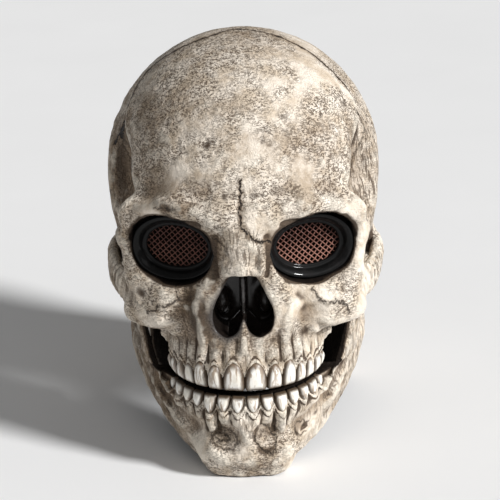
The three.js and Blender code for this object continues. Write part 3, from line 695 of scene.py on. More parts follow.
# Painted cracks and seams: strength, then points on the surface
SKULL_CRACKS = [
    (1.7, [(-2, 18, 251), (-9, 15, 251), (-18, 8, 250), (-34, 5, 245), (-45, 6, 239),
           (-59, 5, 228), (-65, -1, 221), (-72, -9, 210), (-73, -18, 203), (-78, -14, 188)]),
    (1.4, [(-2, 18, 251), (16, 11, 250), (27, 6, 248), (50, -4, 235), (57, -7, 229),
           (68, -12, 214), (76, -14, 200)]),
    (1.1, [(0, -93, 189), (0, -96, 180), (0, -98, 175), (-1, -99, 171), (1, -101, 163),
           (4, -101, 159), (6, -100, 155), (11, -98, 152), (18, -95, 150)]),
    (0.8, [(-38, -80, 118), (-40, -85, 117), (-39, -86, 113), (-43, -87, 110), (-50, -86, 108),
           (-55, -83, 104), (-58, -81, 103)]),
    (0.8, [(41, -85, 117), (45, -87, 112), (49, -86, 109), (55, -82, 108), (60, -79, 105),
           (63, -76, 98)]),
    (0.6, [(-50, -83, 170), (-45, -88, 171), (-42, -91, 171), (-38, -93, 171)]),
    (0.7, [(-17, -95, 153), (-11, -98, 151), (-8, -100, 150)]),
    (0.5, [(10, -99, 148), (9, -99, 138), (9, -98, 134)]),
    (0.5, [(-8, -99, 150), (-8, -100, 142), (-8, -99, 135)]),
    (0.5, [(78, -14, 200), (72, -29, 180), (70, -33, 168)]),
    (0.5, [(-78, -14, 200), (-72, -29, 180), (-70, -33, 168)]),
]


def ellipse(centre, wide, tall, spans=18):
    """Closed line on the front of the chin."""
    points = []
    for t in np.linspace(0, 2 * math.pi, spans + 1):
        x = centre[0] + wide * math.cos(t)
        points.append((x, -105.5 + 0.012 * x**2, centre[1] + tall * math.sin(t)))
    return points


JAW_CRACKS = [
    (0.6, ellipse((-14, 27), 8.4, 6.2)),
    (0.8, ellipse((-15, 28), 4.2, 2.4)),
    (0.7, [(6, -105, 37), (4, -105, 30), (7, -105, 23), (14, -104, 17), (17, -103, 19),
           (18, -102, 27), (14, -103, 34), (9, -105, 37)]),
    (0.4, [(0, -106, 38), (2, -106, 30)]),
    (0.6, [(33, -90, 29), (38, -86, 29), (39, -85, 24), (34, -90, 23), (33, -90, 29)]),
]


def crack_values(places, facing, cracks):
    """Signed distance to the nearest crack, and how strong that crack is here."""
    signed, strength = np.full(len(places), CRACK_REACH), np.zeros(len(places))
    for power, points in cracks:
        pts = np.array(points, float)
        for a, b in zip(pts[:-1], pts[1:]):
            d = b - a
            length = np.linalg.norm(d)
            d /= length
            q = places - a
            along = q @ d
            over = np.maximum(np.maximum(-along, along - length), 0)
            across = np.cross(np.broadcast_to(d, facing.shape), facing)
            across /= np.maximum(np.linalg.norm(across, axis=1), 1e-6)[:, None]
            offset = (q * across).sum(1)
            depth = np.abs((q * facing).sum(1))
            closer = (over < CRACK_END) & (depth < CRACK_REACH) & (
                np.abs(offset) < np.abs(signed))
            signed = np.where(closer, offset, signed)
            fade = power * np.clip(1 - over / CRACK_END, 0, 1)
            strength = np.where(closer, fade * smooth((CRACK_REACH - np.abs(offset)) / 2), strength)
    return signed, strength


def lumps(places, cell):
    """Smooth seeded noise from -1 to 1 with lumps of about this size."""
    lattice = rng.random((NOISE_GRID,) * 3) * 2 - 1
    p = places / cell
    i = np.floor(p).astype(int)
    return blend_corners(lattice, i, smooth(p - i))


def near(places, centre, radii):
    return np.sqrt((((places - centre) / radii) ** 2).sum(1))


def pull_in(obj, lo, hi):
    """Vertices that thinning has thrown outside the box go to the middle of their neighbours."""
    co = coordinates(obj)
    out = ((co < lo) | (co > hi)).any(1)
    ends = np.zeros(len(obj.data.edges) * 2, np.int32)
    obj.data.edges.foreach_get("vertices", ends)
    ends = ends.reshape(-1, 2)
    for i in np.nonzero(out)[0]:
        beside = np.unique(ends[(ends == i).any(1)])
        co[i] = co[beside[~out[beside]]].mean(0)
    move_vertices(obj, co)


def shell_object(name, built, budget, cracks, fine, relief, gum):
    axes, body, skin, plain = built
    origin = np.array([-axes[0][-1], axes[1][0], axes[2][0]])
    places, faces = surface(mirrored(body).astype(np.float32), origin)
    obj = new_mesh(name, places, faces)
    deep = sample(mirrored(plain), origin, places)
    swell = relief(places) * smooth((deep + 1.2) / 1.2)
    places = places + read_vertices(obj, "normal") * swell[:, None]
    places[:, 2] = np.maximum(places[:, 2], 0)
    move_vertices(obj, places)
    x, y, z = places.T
    seen = (np.abs(x) < 20) & (y < -70) & (np.abs(z - 112) < 24)
    weight = np.where(deep < -1.6, np.where(seen, 0.4, 0.05), fine(places))
    group = obj.vertex_groups.new(name="detail")
    levels = np.round(weight * THIN_LEVELS).astype(int)
    for level in np.unique(levels):
        group.add(np.nonzero(levels == level)[0].tolist(), level / THIN_LEVELS, "REPLACE")
    thin = obj.modifiers.new("thin", "DECIMATE")
    thin.ratio = budget / (2 * len(faces))
    thin.vertex_group = "detail"
    thin.invert_vertex_group = True
    thin.vertex_group_factor = THIN_KEEP
    bpy.context.view_layer.update()
    done = bpy.data.meshes.new_from_object(
        obj.evaluated_get(bpy.context.evaluated_depsgraph_get()))
    obj.modifiers.clear()
    obj.vertex_groups.clear()
    old = obj.data
    obj.data = done
    bpy.data.meshes.remove(old)
    done.name = name
    done.shade_smooth()
    pull_in(obj, origin - 2, (axes[0][-1] + 2, axes[1][-1] + 2, axes[2][-1] + 2))
    places, facing = coordinates(obj), read_vertices(obj, "normal")
    full = np.clip(0.5 - mirrored(skin) / 2, 0, 1).astype(np.float32)
    fine_blur = box_blur(box_blur(full, 2), 2)
    broad_blur = box_blur(box_blur(full, 6), 6)
    cavity = (sample(fine_blur, origin, places) - 0.5) * 4
    signed, strength = crack_values(places, facing, cracks)
    # Painted light and shade: cavity, with gum_shade, drives dark hollows and pale convex edges,
    # hollow darkens broad hollows, and inside paints the inner faces near black
    attributes(obj, cavity=cavity + gum_shade(places, *gum), crack=signed, crack_strength=strength,
               hollow=(sample(broad_blur, origin, places) - 0.5) * 4,
               inside=smooth((-sample(mirrored(skin), origin, places) - 0.8) / 1.4))
    return obj, places


# Materials
def rgb(r, g, b):
    return (r, g, b, 1.0)


class Nodes:
    """A new material, and short calls that add linked nodes to it."""

    def __init__(self, name):
        self.mat = bpy.data.materials.new(name)
        self.mat.use_nodes = True
        self.tree = self.mat.node_tree
        self.tree.nodes.clear()
        out = self.add("OutputMaterial")
        self.surf = self.add("BsdfPrincipled")
        self.tree.links.new(self.surf.outputs[0], out.inputs[0])
        self.here = self.place()

    def put(self, node, inputs):
        for key, value in dict(inputs).items():
            if isinstance(value, bpy.types.NodeSocket):
                self.tree.links.new(value, node.inputs[key])
            else:
                node.inputs[key].default_value = value

    def add(self, kind, inputs=(), **props):
        node = self.tree.nodes.new("ShaderNode" + kind)
        for key, value in props.items():
            setattr(node, key, value)
        self.put(node, inputs)
        return node

    def value(self, name):
        return self.add("Attribute", attribute_name=name).outputs["Fac"]

    def math(self, kind, a, b=0.0):
        return self.add("Math", {0: a, 1: b}, operation=kind).outputs[0]

    def times(self, a, b):
        return self.math("MULTIPLY", a, b)

    def plus(self, a, b, share=None):
        """The sum of a and b, or of a and a share of b."""
        return self.math("ADD", a, b if share is None else self.times(b, share))

    def ramp(self, v, low, high, to_low=0.0, to_high=1.0):
        span = {"Value": v, "From Min": low, "From Max": high, "To Min": to_low, "To Max": to_high}
        return self.add("MapRange", span, interpolation_type="SMOOTHSTEP").outputs[0]

    def mix(self, share, a, b):
        return self.add("Mix", {0: share, 6: a, 7: b}, data_type="RGBA").outputs[2]

    def place(self, stretch=(1, 1, 1), turn=(0, 0, 0)):
        here = self.add("TexCoord").outputs["Object"]
        return self.add("Mapping", {"Vector": here, "Scale": stretch, "Rotation": turn}).outputs[0]

    def noise(self, where, scale, detail=4.0, rough=0.55, twist=0.0):
        return self.add("TexNoise", {"Vector": where, "Scale": scale, "Detail": detail,
                                     "Roughness": rough, "Distortion": twist}).outputs[0]

    def done(self, color, rough, bump=None, more=()):
        """Results go to the shader; bump is a strength, a distance in metres and a height."""
        self.put(self.surf, {"Base Color": color, "Roughness": rough, **dict(more)})
        if bump:
            node = self.add("Bump", dict(zip(("Strength", "Distance", "Height"), bump)))
            self.put(self.surf, {"Normal": node.outputs[0]})
        return self.mat


def bone_material():
    n = Nodes("bone_paint")
    here = n.here
    level, slant = n.place(FLECK_STRETCH, (0, 0.3, 0)), n.place(FLECK_STRETCH, (0, -0.75, 0))
    broad = n.noise(here, 17, 3, 0.5)
    mid = n.noise(here, 70, 6, 0.66)
    patch = n.noise(here, 38, 3, 0.55)
    cavity, hollow, grainy = n.value("cavity"), n.value("hollow"), n.value("grain")
    # Brown clouds, partly stains and partly painted shade
    stained = n.value("stain")
    color = n.mix(n.ramp(mid, 0.34, 0.64), rgb(0.60, 0.50, 0.385), rgb(0.84, 0.755, 0.65))
    cloud = n.plus(n.times(n.ramp(broad, 0.46, 0.68), 0.55), stained)
    cloud = n.times(cloud, n.ramp(mid, 0.66, 0.36, 0.4, 1.0))
    color = n.mix(n.math("MINIMUM", cloud, 0.9), color, rgb(0.25, 0.175, 0.11))
    # Painted shade: clouds stronger than about 1 go near black
    deep = n.ramp(n.plus(stained, mid, -0.5), 0.55, 1.35, 0.0, 0.85)
    color = n.mix(deep, color, rgb(0.055, 0.038, 0.025))
    # Painted shade: broad hollows go darker brown
    color = n.mix(n.ramp(hollow, 0.0, 0.45, 0.0, 0.65), color, rgb(0.23, 0.16, 0.10))
    # Short dashes like worm tracks, level in most places and slanting in others
    first = n.ramp(n.noise(level, 500, 2, 0.6, 0.9), 0.53, 0.575)
    second = n.ramp(n.noise(slant, 540, 2, 0.6, 0.9), 0.53, 0.575)
    which = n.ramp(n.noise(here, 45, 2), 0.47, 0.55)
    dashes = n.mix(which, first, second)
    pits = n.ramp(n.noise(here, 620, 1, 0.5), 0.60, 0.66)
    spots = n.times(n.math("MAXIMUM", dashes, pits),
                    n.ramp(n.plus(patch, stained, 0.25), 0.42, 0.60, 0.06, 1.0))
    spots = n.times(spots, n.ramp(grainy, 0.0, 1.0, 1.0, 0.4))
    color = n.mix(n.times(spots, 0.85), color, rgb(0.10, 0.066, 0.042))
    # Upright streaks, a painted highlight on pale convex edges, and dark wash in the hollows that
    # is partly paint and partly painted shade
    grain = n.noise(n.place(GRAIN_STRETCH), 560, 3, 0.6, 0.8)
    streaks = n.times(n.ramp(grain, 0.52, 0.59), grainy)
    color = n.mix(n.times(streaks, 0.8), color, rgb(0.11, 0.073, 0.046))
    # Painted highlight: convex edges go paler
    edges = n.ramp(n.plus(cavity, mid, -0.4), -0.3, -0.65)
    color = n.mix(n.times(edges, 0.6), color, rgb(0.82, 0.75, 0.64))
    # Dark wash in hollows and creases, partly paint and partly painted shade
    wash_and_shade = n.ramp(n.plus(cavity, mid, 0.25), 0.25, 0.56)
    color = n.mix(n.times(wash_and_shade, 0.95), color, rgb(0.07, 0.045, 0.028))
    # Cracks wander by noise and are broken in places
    shift = n.noise(here, 260, 4, 0.7)
    shifted = n.plus(n.value("crack"), n.ramp(shift, 0.25, 0.75, -1.3, 1.3))
    strength = n.value("crack_strength")
    away = n.math("DIVIDE", n.math("ABSOLUTE", shifted), n.math("MAXIMUM", strength, 1.0))
    broken = n.ramp(n.noise(here, 150, 2), 0.28, 0.40)
    crack = n.times(n.times(n.ramp(away, 0.25, 0.8, 1.0, 0.0), strength), broken)
    halo = n.times(n.ramp(away, 0.3, 2.6, 0.6, 0.0), strength)
    color = n.mix(halo, color, rgb(0.22, 0.155, 0.10))
    color = n.mix(crack, color, rgb(0.02, 0.013, 0.009))
    # Nose pocket in black paint with painted shade round its opening; painted shade inside the
    # shell, in the sockets, under the brows and in the mouth
    pocket = n.value("pocket")
    color = n.mix(n.ramp(n.plus(pocket, mid, 0.2), 0.15, 0.85), color, rgb(0.055, 0.050, 0.048))
    dark = n.math("MAXIMUM", n.value("inside"), n.value("dark"))
    dark = n.ramp(n.plus(dark, mid, 0.2), 0.25, 0.95)
    color = n.mix(dark, color, rgb(0.015, 0.011, 0.009))
    height = n.plus(n.times(spots, -1.1), n.noise(here, 800, 3, 0.6), 0.3)
    height = n.plus(n.plus(height, streaks, -0.8), crack, -1.8)
    height = n.plus(height, n.noise(here, 230, 4, 0.65), 1.4)
    return n.done(color, n.ramp(mid, 0.3, 0.7, 0.72, 0.5), (0.85, 0.0012, height),
                  {"Specular IOR Level": n.ramp(dark, 0.2, 0.9, 0.3, 0.04),
                   "Coat Weight": n.ramp(pocket, 0.4, 1.0, 0.0, 0.8), "Coat Roughness": 0.25})


def tooth_material():
    n = Nodes("tooth_paint")
    grain = n.noise(n.place(GRAIN_STRETCH), 520, 3, 0.6, 0.3)
    mid = n.noise(n.here, 130, 4, 0.6)
    root, edge = n.value("root"), n.value("edge")
    color = n.mix(n.ramp(mid, 0.35, 0.65), rgb(0.78, 0.73, 0.64), rgb(0.90, 0.88, 0.83))
    streak = n.times(n.ramp(grain, 0.51, 0.60), n.ramp(root, 0.05, 0.7, 0.6, 1.0))
    color = n.mix(n.times(streak, 0.8), color, rgb(0.27, 0.18, 0.11))
    # Painted shade: darker brown towards each tooth's outline, where it meets the bone and its
    # neighbours
    color = n.mix(n.ramp(n.plus(edge, mid, 0.3), 0.68, 1.08), color, rgb(0.09, 0.062, 0.04))
    color = n.mix(n.ramp(root, 0.68, 1.0, 0.0, 0.75), color, rgb(0.20, 0.135, 0.085))
    # Painted shade: the closed backs of the teeth go near black
    color = n.mix(n.ramp(edge, 1.0, 1.3), color, rgb(0.008, 0.006, 0.005))
    return n.done(color, n.ramp(mid, 0.3, 0.7, 0.5, 0.36), (0.4, 0.0007, n.plus(grain, mid, 0.6)),
                  {"Coat Weight": 0.15, "Coat Roughness": 0.25})


def small_part_material(name, broad, fine, span, low, high, rough, bump, more):
    """Two mixed tones, a roughness that follows them and a fine bump."""
    n = Nodes(name)
    mid = n.noise(n.here, *broad)
    color = n.mix(n.ramp(mid, *span), rgb(*low), rgb(*high))
    return n.done(color, n.ramp(mid, 0.3, 0.7, *rough), (*bump, n.noise(n.here, *fine)), more)


def net_material():
    n = Nodes("dark_net")
    mid, fine = n.noise(n.here, 160, 3, 0.6), n.noise(n.here, 2600, 2, 0.6)
    color = n.mix(n.ramp(mid, 0.4, 0.7), rgb(0.075, 0.024, 0.016), rgb(0.17, 0.066, 0.046))
    # Painted light: the lower half is paler, and less so in the left net, which is kept in painted
    # shade
    across, _, tall = n.add("SeparateXYZ", {0: n.here}).outputs
    low = n.ramp(n.plus(tall, mid, 0.012), 0.152, 0.138)
    low = n.times(low, n.ramp(across, -0.02, 0.02, 0.3, 1.0))
    color = n.mix(low, color, rgb(0.36, 0.17, 0.125))
    return n.done(color, n.ramp(fine, 0.3, 0.7, 0.35, 0.6), (0.3, 0.0001, fine))


# Teeth
UPPER_SHAPE = [(0, 0.84), (0.05, 0.94), (0.15, 1.0), (0.35, 1.0), (0.55, 0.93), (0.72, 0.80),
               (0.86, 0.60), (0.95, 0.36), (1.0, 0.0)]
LOWER_SHAPE = [(0, 0.78), (0.07, 0.91), (0.24, 0.95), (0.45, 0.86), (0.65, 0.69), (0.82, 0.46),
               (0.94, 0.24), (1.0, 0.0)]


def tooth_outline(shape, width, tall, around=40):
    side = [(share * width / 2, v * tall) for v, share in shape]
    points = [(0.0, 0.0), *side, *[(-a, b) for a, b in side[-2::-1]], (0.0, 0.0)]
    pts = np.array(points)
    run = np.concatenate(([0], np.cumsum(np.hypot(*np.diff(pts, axis=0).T))))
    at = np.linspace(0, run[-1], around, endpoint=False)
    return np.stack([np.interp(at, run, pts[:, i]) for i in (0, 1)], 1)


def tooth_mesh(shape, width, tall, bulge):
    """One tooth: across, out and along its height, crowned in front and closed behind."""
    ring = tooth_outline(shape, width, tall)
    centre = np.array([0, 0.42 * tall])
    shares = [0.3, 0.55, 0.74, 0.87, 0.95, 1.0, 1.0, 0.8]
    outs = [(1 - r**3.2) ** 0.5 * bulge for r in shares[:6]] + [-2.5, -3.0]
    places, edge, root = [(centre[0], bulge, centre[1])], [0.0], [centre[1] / tall]
    for r, out in zip(shares, outs):
        for a, b in centre + (ring - centre) * r:
            chisel = 0.78 + 0.3 * smooth(b / (0.6 * tall))
            places.append((a, out * chisel if out > 0 else out, b))
            edge.append(1.8 if out < 0 else r if out > 0.3 * bulge else 1.0)
            root.append(b / tall)
    places.append((centre[0], -3.0, centre[1]))
    edge.append(1.8)
    root.append(0.5)
    n, faces = len(ring), []
    for j in range(n):
        faces.append((0, 1 + (j + 1) % n, 1 + j))
    for i in range(len(shares) - 1):
        for j in range(n):
            a, b = 1 + i * n + j, 1 + i * n + (j + 1) % n
            faces += [(a, b, a + n), (b, b + n, a + n)]
    last, start = len(places) - 1, 1 + (len(shares) - 1) * n
    for j in range(n):
        faces.append((last, start + j, start + (j + 1) % n))
    return np.array(places), np.array(faces), np.array(edge), np.array(root)


def tooth_row(name, teeth, shape, bite, reach, way, base_out, material):
    places, faces, edges, roots = [], [], [], []
    count = 0
    for i, (at, width, height) in enumerate(tooth_spans(teeth)):
        spot, normal = arch_place(at)
        for side in (1, -1):
            wide = width * (0.985 + 0.02 * rng.random())
            tall = height * reach + 0.8 + 0.5 * rng.random()
            p, f, e, r = tooth_mesh(shape, wide, tall, 4.2 if i < 3 else 3.8)
            tilt = math.radians(3) * (rng.random() - 0.5)
            across = p[:, 0] * math.cos(tilt) - p[:, 2] * math.sin(tilt)
            along = p[:, 0] * math.sin(tilt) + p[:, 2] * math.cos(tilt)
            out = p[:, 1] + base_out - 0.05 * along * (1 if way > 0 else 0.6)
            tangent = np.array([-normal[1], normal[0]])
            x = spot[0] + tangent[0] * across * side + normal[0] * out
            y = spot[1] + tangent[1] * across * side + normal[1] * out
            places.append(np.stack([side * x, y, bite + way * along], 1))
            faces.append((f if way > 0 else f[:, ::-1]) + count)
            count += len(p)
            edges.append(e)
            roots.append(r)
    obj = new_mesh(name, np.concatenate(places), np.concatenate(faces))
    attributes(obj, edge=np.concatenate(edges), root=np.concatenate(roots))
    obj.data.materials.append(material)
    return obj


# Eyes
def socket_place(points, side):
    """From the socket's frame (towards the ear, up, out) to the part's frame."""
    u, v, out = np.asarray(points, float).T
    c, s = math.cos(SOCKET_TURN), math.sin(SOCKET_TURN)
    x = EYE[0] + u * c + out * s
    y = EYE[1] + u * s - out * c
    return np.stack([side * x, y, EYE[2] + v], 1)


def eye_rim(name, side, material):
    section = [(GAP, 0.0), (GAP, -1.0), (0.8 * RIM_BAND, -1.0), (1.16 * RIM_BAND, -0.9),
               (1.22 * RIM_BAND, -0.76), (1.16 * RIM_BAND, -0.64), (1.02 * RIM_BAND, -0.60),
               (0.95 * RIM_BAND, -0.62), (0.82 * RIM_BAND, -0.42), (0.6 * RIM_BAND, -0.14),
               (0.38 * RIM_BAND, 0.02), (0.2 * RIM_BAND, 0.07), (0.08 * RIM_BAND + GAP, 0.05)]
    rings = []
    for inset, out in section:
        ring = socket_loop(inset, 10)
        rings.append(np.column_stack([ring, np.full(len(ring), -RIM_RECESS + out * RIM_DEPTH)]))
    n, faces = len(rings[0]), []
    for i in range(len(rings)):
        j = (i + 1) % len(rings)
        for k in range(n):
            a, b = i * n + k, i * n + (k + 1) % n
            c, d = j * n + k, j * n + (k + 1) % n
            faces.append((a, c, d, b) if side > 0 else (a, b, d, c))
    obj = new_mesh(name, socket_place(np.concatenate(rings), side), faces)
    obj.data.materials.append(material)
    return obj


def eye_net(name, side, material):
    """Net of round strands woven over and under, cut to the socket's outline."""
    loop = socket_loop(2.2, 8)
    depth = -RIM_RECESS - RIM_DEPTH - GAP - 0.5
    places, faces, count = [], [], 0
    for way, lean in ((0, math.radians(48)), (1, math.radians(-42))):
        d = np.array([math.cos(lean), math.sin(lean)])
        q = np.array([-d[1], d[0]])
        for row in range(-NET_ROWS, NET_ROWS + 1):
            offset = row * NET_PITCH
            cross = loop @ q - offset
            hits = []
            for i in range(len(loop)):
                j = (i + 1) % len(loop)
                if (cross[i] < 0) != (cross[j] < 0):
                    t = cross[i] / (cross[i] - cross[j])
                    hits.append((loop[i] + (loop[j] - loop[i]) * t) @ d)
            if len(hits) < 2:
                continue
            lo, hi = min(hits), max(hits)
            steps = max(int((hi - lo) / (NET_PITCH / 4)), 2)
            along = np.linspace(lo, hi, steps)
            wave = NET_WAVE * np.cos(math.pi * (along / NET_PITCH + row + way))
            centre = q[None] * offset + d[None] * along[:, None]
            for a in range(NET_SIDES):
                turn = 2 * math.pi * a / NET_SIDES
                spread = centre + q[None] * NET_STRAND * math.cos(turn)
                lift = depth + wave + NET_STRAND * math.sin(turn)
                places.append(np.column_stack([spread, lift]))
                b = (a + 1) % NET_SIDES
                for s in range(steps - 1):
                    p0, p1 = count + a * steps + s, count + b * steps + s
                    quad = (p0, p0 + 1, p1 + 1, p1)
                    faces.append(quad if side < 0 else quad[::-1])
            count += NET_SIDES * steps
    obj = new_mesh(name, socket_place(np.concatenate(places), side), faces)
    obj.data.materials.append(material)
    return obj


# Pieces
bone, enamel, net_dark = bone_material(), tooth_material(), net_material()
rim_black = small_part_material(
    "black_rim", (140, 4, 0.6), (1500, 3, 0.6), (0.45, 0.75), (0.003, 0.003, 0.003),
    (0.008, 0.007, 0.007), (0.42, 0.6), (0.15, 0.0003),
    {"Specular IOR Level": 0.08, "Coat Weight": 0.2, "Coat Roughness": 0.07})
rivet_dark = small_part_material(
    "dark_rivet", (220, 4, 0.65), (1200, 3, 0.6), (0.45, 0.7), (0.05, 0.045, 0.04),
    (0.16, 0.13, 0.10), (0.35, 0.65), (0.25, 0.0002), {"Metallic": 0.8})


def skull_detail(p):
    return 0.3 + 0.7 * smooth((-20 - p[:, 1]) / 40)


# Brown clouds: place, radii, strength. Some are stains; the strong ones on the left side (x < 0),
# in the temple grooves and under the brows are painted shade
SKULL_STAINS_AND_SHADE = [((-62, -62, 196), (26, 34, 40), 0.75), ((-40, -60, 228), (30, 34, 22), 0.4),
                ((44, -72, 205), (18, 26, 16), 0.35), ((30, -92, 178), (18, 16, 8), 0.4),
                ((-36, -90, 180), (22, 18, 10), 0.55), ((-72, -20, 150), (22, 60, 60), 0.85),
                ((0, 6, 250), (60, 40, 20), 0.45), ((-26, -96, 104), (15, 20, 22), 1.75),
                ((-30, -92, 80), (22, 22, 16), 0.5), ((0, -100, 145), (11, 14, 16), 0.3),
                ((66, -33, 184), (5, 14, 22), 1.4), ((80, -24, 170), (12, 24, 40), 0.5),
                ((-75, -24, 178), (7, 16, 34), 1.8), ((-69, -56, 166), (7, 12, 16), 1.5),
                ((38, -91, 97), (12, 16, 9), 0.45), ((-12, -98, 165), (9, 14, 9), 0.35),
                ((-38, -90, 172), (16, 12, 5), 1.4), ((40, -89, 171), (16, 12, 3.5), 0.5),
                ((-18, -95, 136), (7, 14, 24), 1.7), ((15, -95, 141), (5, 12, 20), 0.4)]
# On the jaw the strong clouds on the left side (x < 0) are painted shade
JAW_STAINS_AND_SHADE = [((-50, -66, 42), (30, 46, 40), 0.9), ((-68, -30, 72), (12, 34, 40), 1.3),
              ((-60, -50, 46), (10, 16, 26), 1.25), ((-16, -103, 30), (18, 14, 9), 0.4),
              ((0, -106, 2), (30, 20, 8), 0.4), ((64, -20, 60), (14, 40, 40), 0.3)]


def stain_values(p, stains):
    total = np.zeros(len(p))
    for centre, radii, strength in stains:
        q = (((p - centre) / radii) ** 2).sum(1)
        total = np.maximum(total, strength * np.exp(-q))
    return total


def jaw_detail(p):
    return 0.5 + 0.5 * smooth((-30 - p[:, 1]) / 30)


def skull_relief(p):
    rough = 0.35 * lumps(p, 9) + 0.3 * lumps(p, 4.5) + 0.16 * lumps(p, 2.4)
    return rough * (1 - 0.5 * smooth((p[:, 2] - 215) / 20))


def jaw_relief(p):
    rough = 0.5 * lumps(p, 8) + 0.42 * lumps(p, 4.2) + 0.2 * lumps(p, 2.4)
    ring = near(p, (-14, -103, 27), (8.0, 9, 6.2))
    front = p[:, 1] < -80
    rough -= 1.1 * np.exp(-(((ring - 0.85) / 0.22) ** 2)) * front
    rough -= 0.8 * np.exp(-(((near(p, (-12, -103, 28), (4, 9, 2.6)) - 0.8) / 0.3) ** 2)) * front
    leaf = near(p, (11, -103, 27), (7, 9, 10))
    rough -= 0.8 * smooth((1.1 - leaf) / 0.3) * front
    square = np.maximum(np.abs(p[:, 0] - 36) / 3, np.abs(p[:, 2] - 26) / 2.4)
    return rough - 1.2 * smooth((1.25 - square) / 0.5) * (p[:, 1] < -60)


skull, at = shell_object("skull_cast", build_skull(), SKULL_FACES, SKULL_CRACKS, skull_detail,
                         skull_relief, (UPPER_TEETH, BITE_UP, UPPER_REACH, 1))
x, y, z = at.T
pocket = smooth((y + 97 - 0.1 * np.abs(z - 112)) / 7) * (
    polygon(x, z, nose_points(0.6)) < 0.0) * (y < -60)
# Painted shade: faces at the mouth slot and on the ledge behind the upper teeth go near black
mouth = smooth((BITE_UP + 2.5 - z) / 3) * (y < DENTAL_BACK + 6)
u, v, out = socket_local(np.abs(x), y, z)
# Painted shade: the socket walls behind the rim, and the upper socket edge under the brow, go near
# black
in_socket = (socket_field(np.abs(x), y, z, -0.5) < 0) * smooth((-out - 1.5) / 2.5)
painted_brow_shade = smooth((3.6 - socket_field(np.abs(x), y, z, 0)) / 3.2) * smooth((v + 1) / 6)
in_socket = np.maximum(in_socket, painted_brow_shade * (y < -50) * (np.abs(u) < SOCKET_W / 2 + 6))
dark = np.maximum(mouth, in_socket * (out > -30))
# Painted shade round the nose opening, wider on the left of the picture; it joins the nose pocket's
# black paint
nose_edge = np.maximum(polygon(x, z, nose_points(0)) + 1.2 * (x > 0), 0)
shade = 0.62 * np.exp(-((nose_edge / np.where(x < 0, 4.5, 2.4)) ** 2))
pocket = np.maximum(pocket, shade * (y < -85) * smooth((129 - z) / 6))
temple = smooth((np.abs(x) - 62) / 6) * smooth((y + 60) / 12) * smooth((215 - z) / 20)
bridge = smooth((14 - np.abs(x)) / 5) * smooth((163 - z) / 6) * (z > 125) * (y < -85)
roots = 0.55 * smooth((98 - z) / 10) * smooth((z - 72) / 5) * (y < -60)
attributes(skull, dark=dark, pocket=pocket, stain=stain_values(at, SKULL_STAINS_AND_SHADE),
           grain=np.maximum(np.maximum(temple, 0.9 * bridge), roots))
skull.data.materials.append(bone)
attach(skull, "skull")
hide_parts("skull_shell")

jaw, at = shell_object("jaw_cast", build_jaw(), JAW_FACES, JAW_CRACKS, jaw_detail, jaw_relief,
                       (LOWER_TEETH, BITE_LOW, LOWER_REACH, -1))
x, y, z = at.T
# Painted shade: faces at the mouth slot go near black
mouth = smooth((z - BITE_LOW + 2.5) / 3) * (y < DENTAL_BACK + 2)
roots = 0.6 * smooth((z - 24) / 10) * (y < -60)
attributes(jaw, dark=mouth, pocket=np.zeros(len(at)), stain=stain_values(at, JAW_STAINS_AND_SHADE),
           grain=np.maximum(0.9 * smooth((y + 82) / 20), roots))
jaw.data.materials.append(bone)
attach(jaw, "jaw")
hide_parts("jaw_shell")

for name, body, teeth, shape, bite, reach, way, base in (
    ("teeth_upper", "skull", UPPER_TEETH, UPPER_SHAPE, BITE_UP, UPPER_REACH, 1, -0.4),
    ("teeth_lower", "jaw", LOWER_TEETH, LOWER_SHAPE, BITE_LOW, LOWER_REACH, -1, -0.9),
):
    row = tooth_row(name, teeth, shape, bite, reach, way, base, enamel)
    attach(row, body)

for label, side in (("left", -1), ("right", 1)):
    rim = eye_rim(f"rim_{label}", side, rim_black)
    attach(rim, "skull")
    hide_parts(f"eye_rim_{label}")
    net = eye_net(f"net_{label}", side, net_dark)
    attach(net, "skull")
    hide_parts(f"eye_mesh_{label}")
    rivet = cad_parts[f"jaw_rivet_{label}"]
    rivet.data.materials.clear()
    rivet.data.materials.append(rivet_dark)


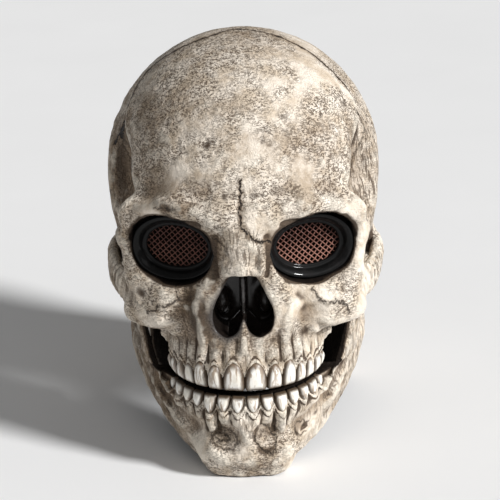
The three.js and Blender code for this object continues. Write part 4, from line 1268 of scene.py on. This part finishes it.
# Stage, lights and camera
paint = Nodes("pale_floor")
pale = paint.mix(paint.noise(paint.here, 8, 2), rgb(0.84, 0.84, 0.84), rgb(0.88, 0.88, 0.88))
floor = new_mesh("floor", [(a * FLOOR_HALF, b * FLOOR_HALF, -FLOOR_DROP) for a, b in (
    (-1, -1), (1, -1), (1, 1), (-1, 1))], [(0, 1, 2, 3)], False)
floor.data.materials.append(paint.done(pale, 0.8))

world = bpy.data.worlds.new("studio")
bpy.context.scene.world = world
world.use_nodes = True
sky = world.node_tree.nodes["Background"].inputs
sky["Color"].default_value, sky["Strength"].default_value = (1, 1, 1, 1), 0.21


def point_at(light, place, target):
    light.location = place
    light.rotation_euler = (Vector(target) - Vector(place)).to_track_quat("-Z", "Y").to_euler()
    bpy.context.scene.collection.objects.link(light)


sun = bpy.data.lights.new("key", "SUN")
sun.energy, sun.angle = 4.3, math.radians(10)
point_at(bpy.data.objects.new("key", sun), (3.0, -1.7, 2.1), (0, 0, 0))
soft = bpy.data.lights.new("front", "AREA")
soft.size, soft.energy = 1.0, 3.0
point_at(bpy.data.objects.new("front", soft), (0.4, -1.6, 1.1), (0, 0, 0.12))
bpy.context.scene.view_settings.view_transform = "Standard"

yaw, pitch, roll = math.radians(1.5), math.radians(20.0), math.radians(1.6)
distance, aim, aside = 1.4, Vector((0, 0, 0.1115)), 0.00255
back = Vector((math.sin(yaw) * math.cos(pitch), -math.cos(yaw) * math.cos(pitch),
               math.sin(pitch)))
level = (-back).cross(Vector((0, 0, 1))).normalized()
above = level.cross(-back)
right = level * math.cos(roll) - above * math.sin(roll)
up = above * math.cos(roll) + level * math.sin(roll)
lens = bpy.data.cameras.new("camera")
lens.sensor_width, lens.lens = 36.0, 158.24
lens.clip_start, lens.clip_end = 0.1, 20
camera = bpy.data.objects.new("camera", lens)
stand = aim + back * distance + right * aside
camera.matrix_world = Matrix((
    *zip(right, up, back, stand),
    (0, 0, 0, 1),
))
bpy.context.scene.collection.objects.link(camera)
bpy.context.scene.camera = camera

bpy.context.view_layer.update()
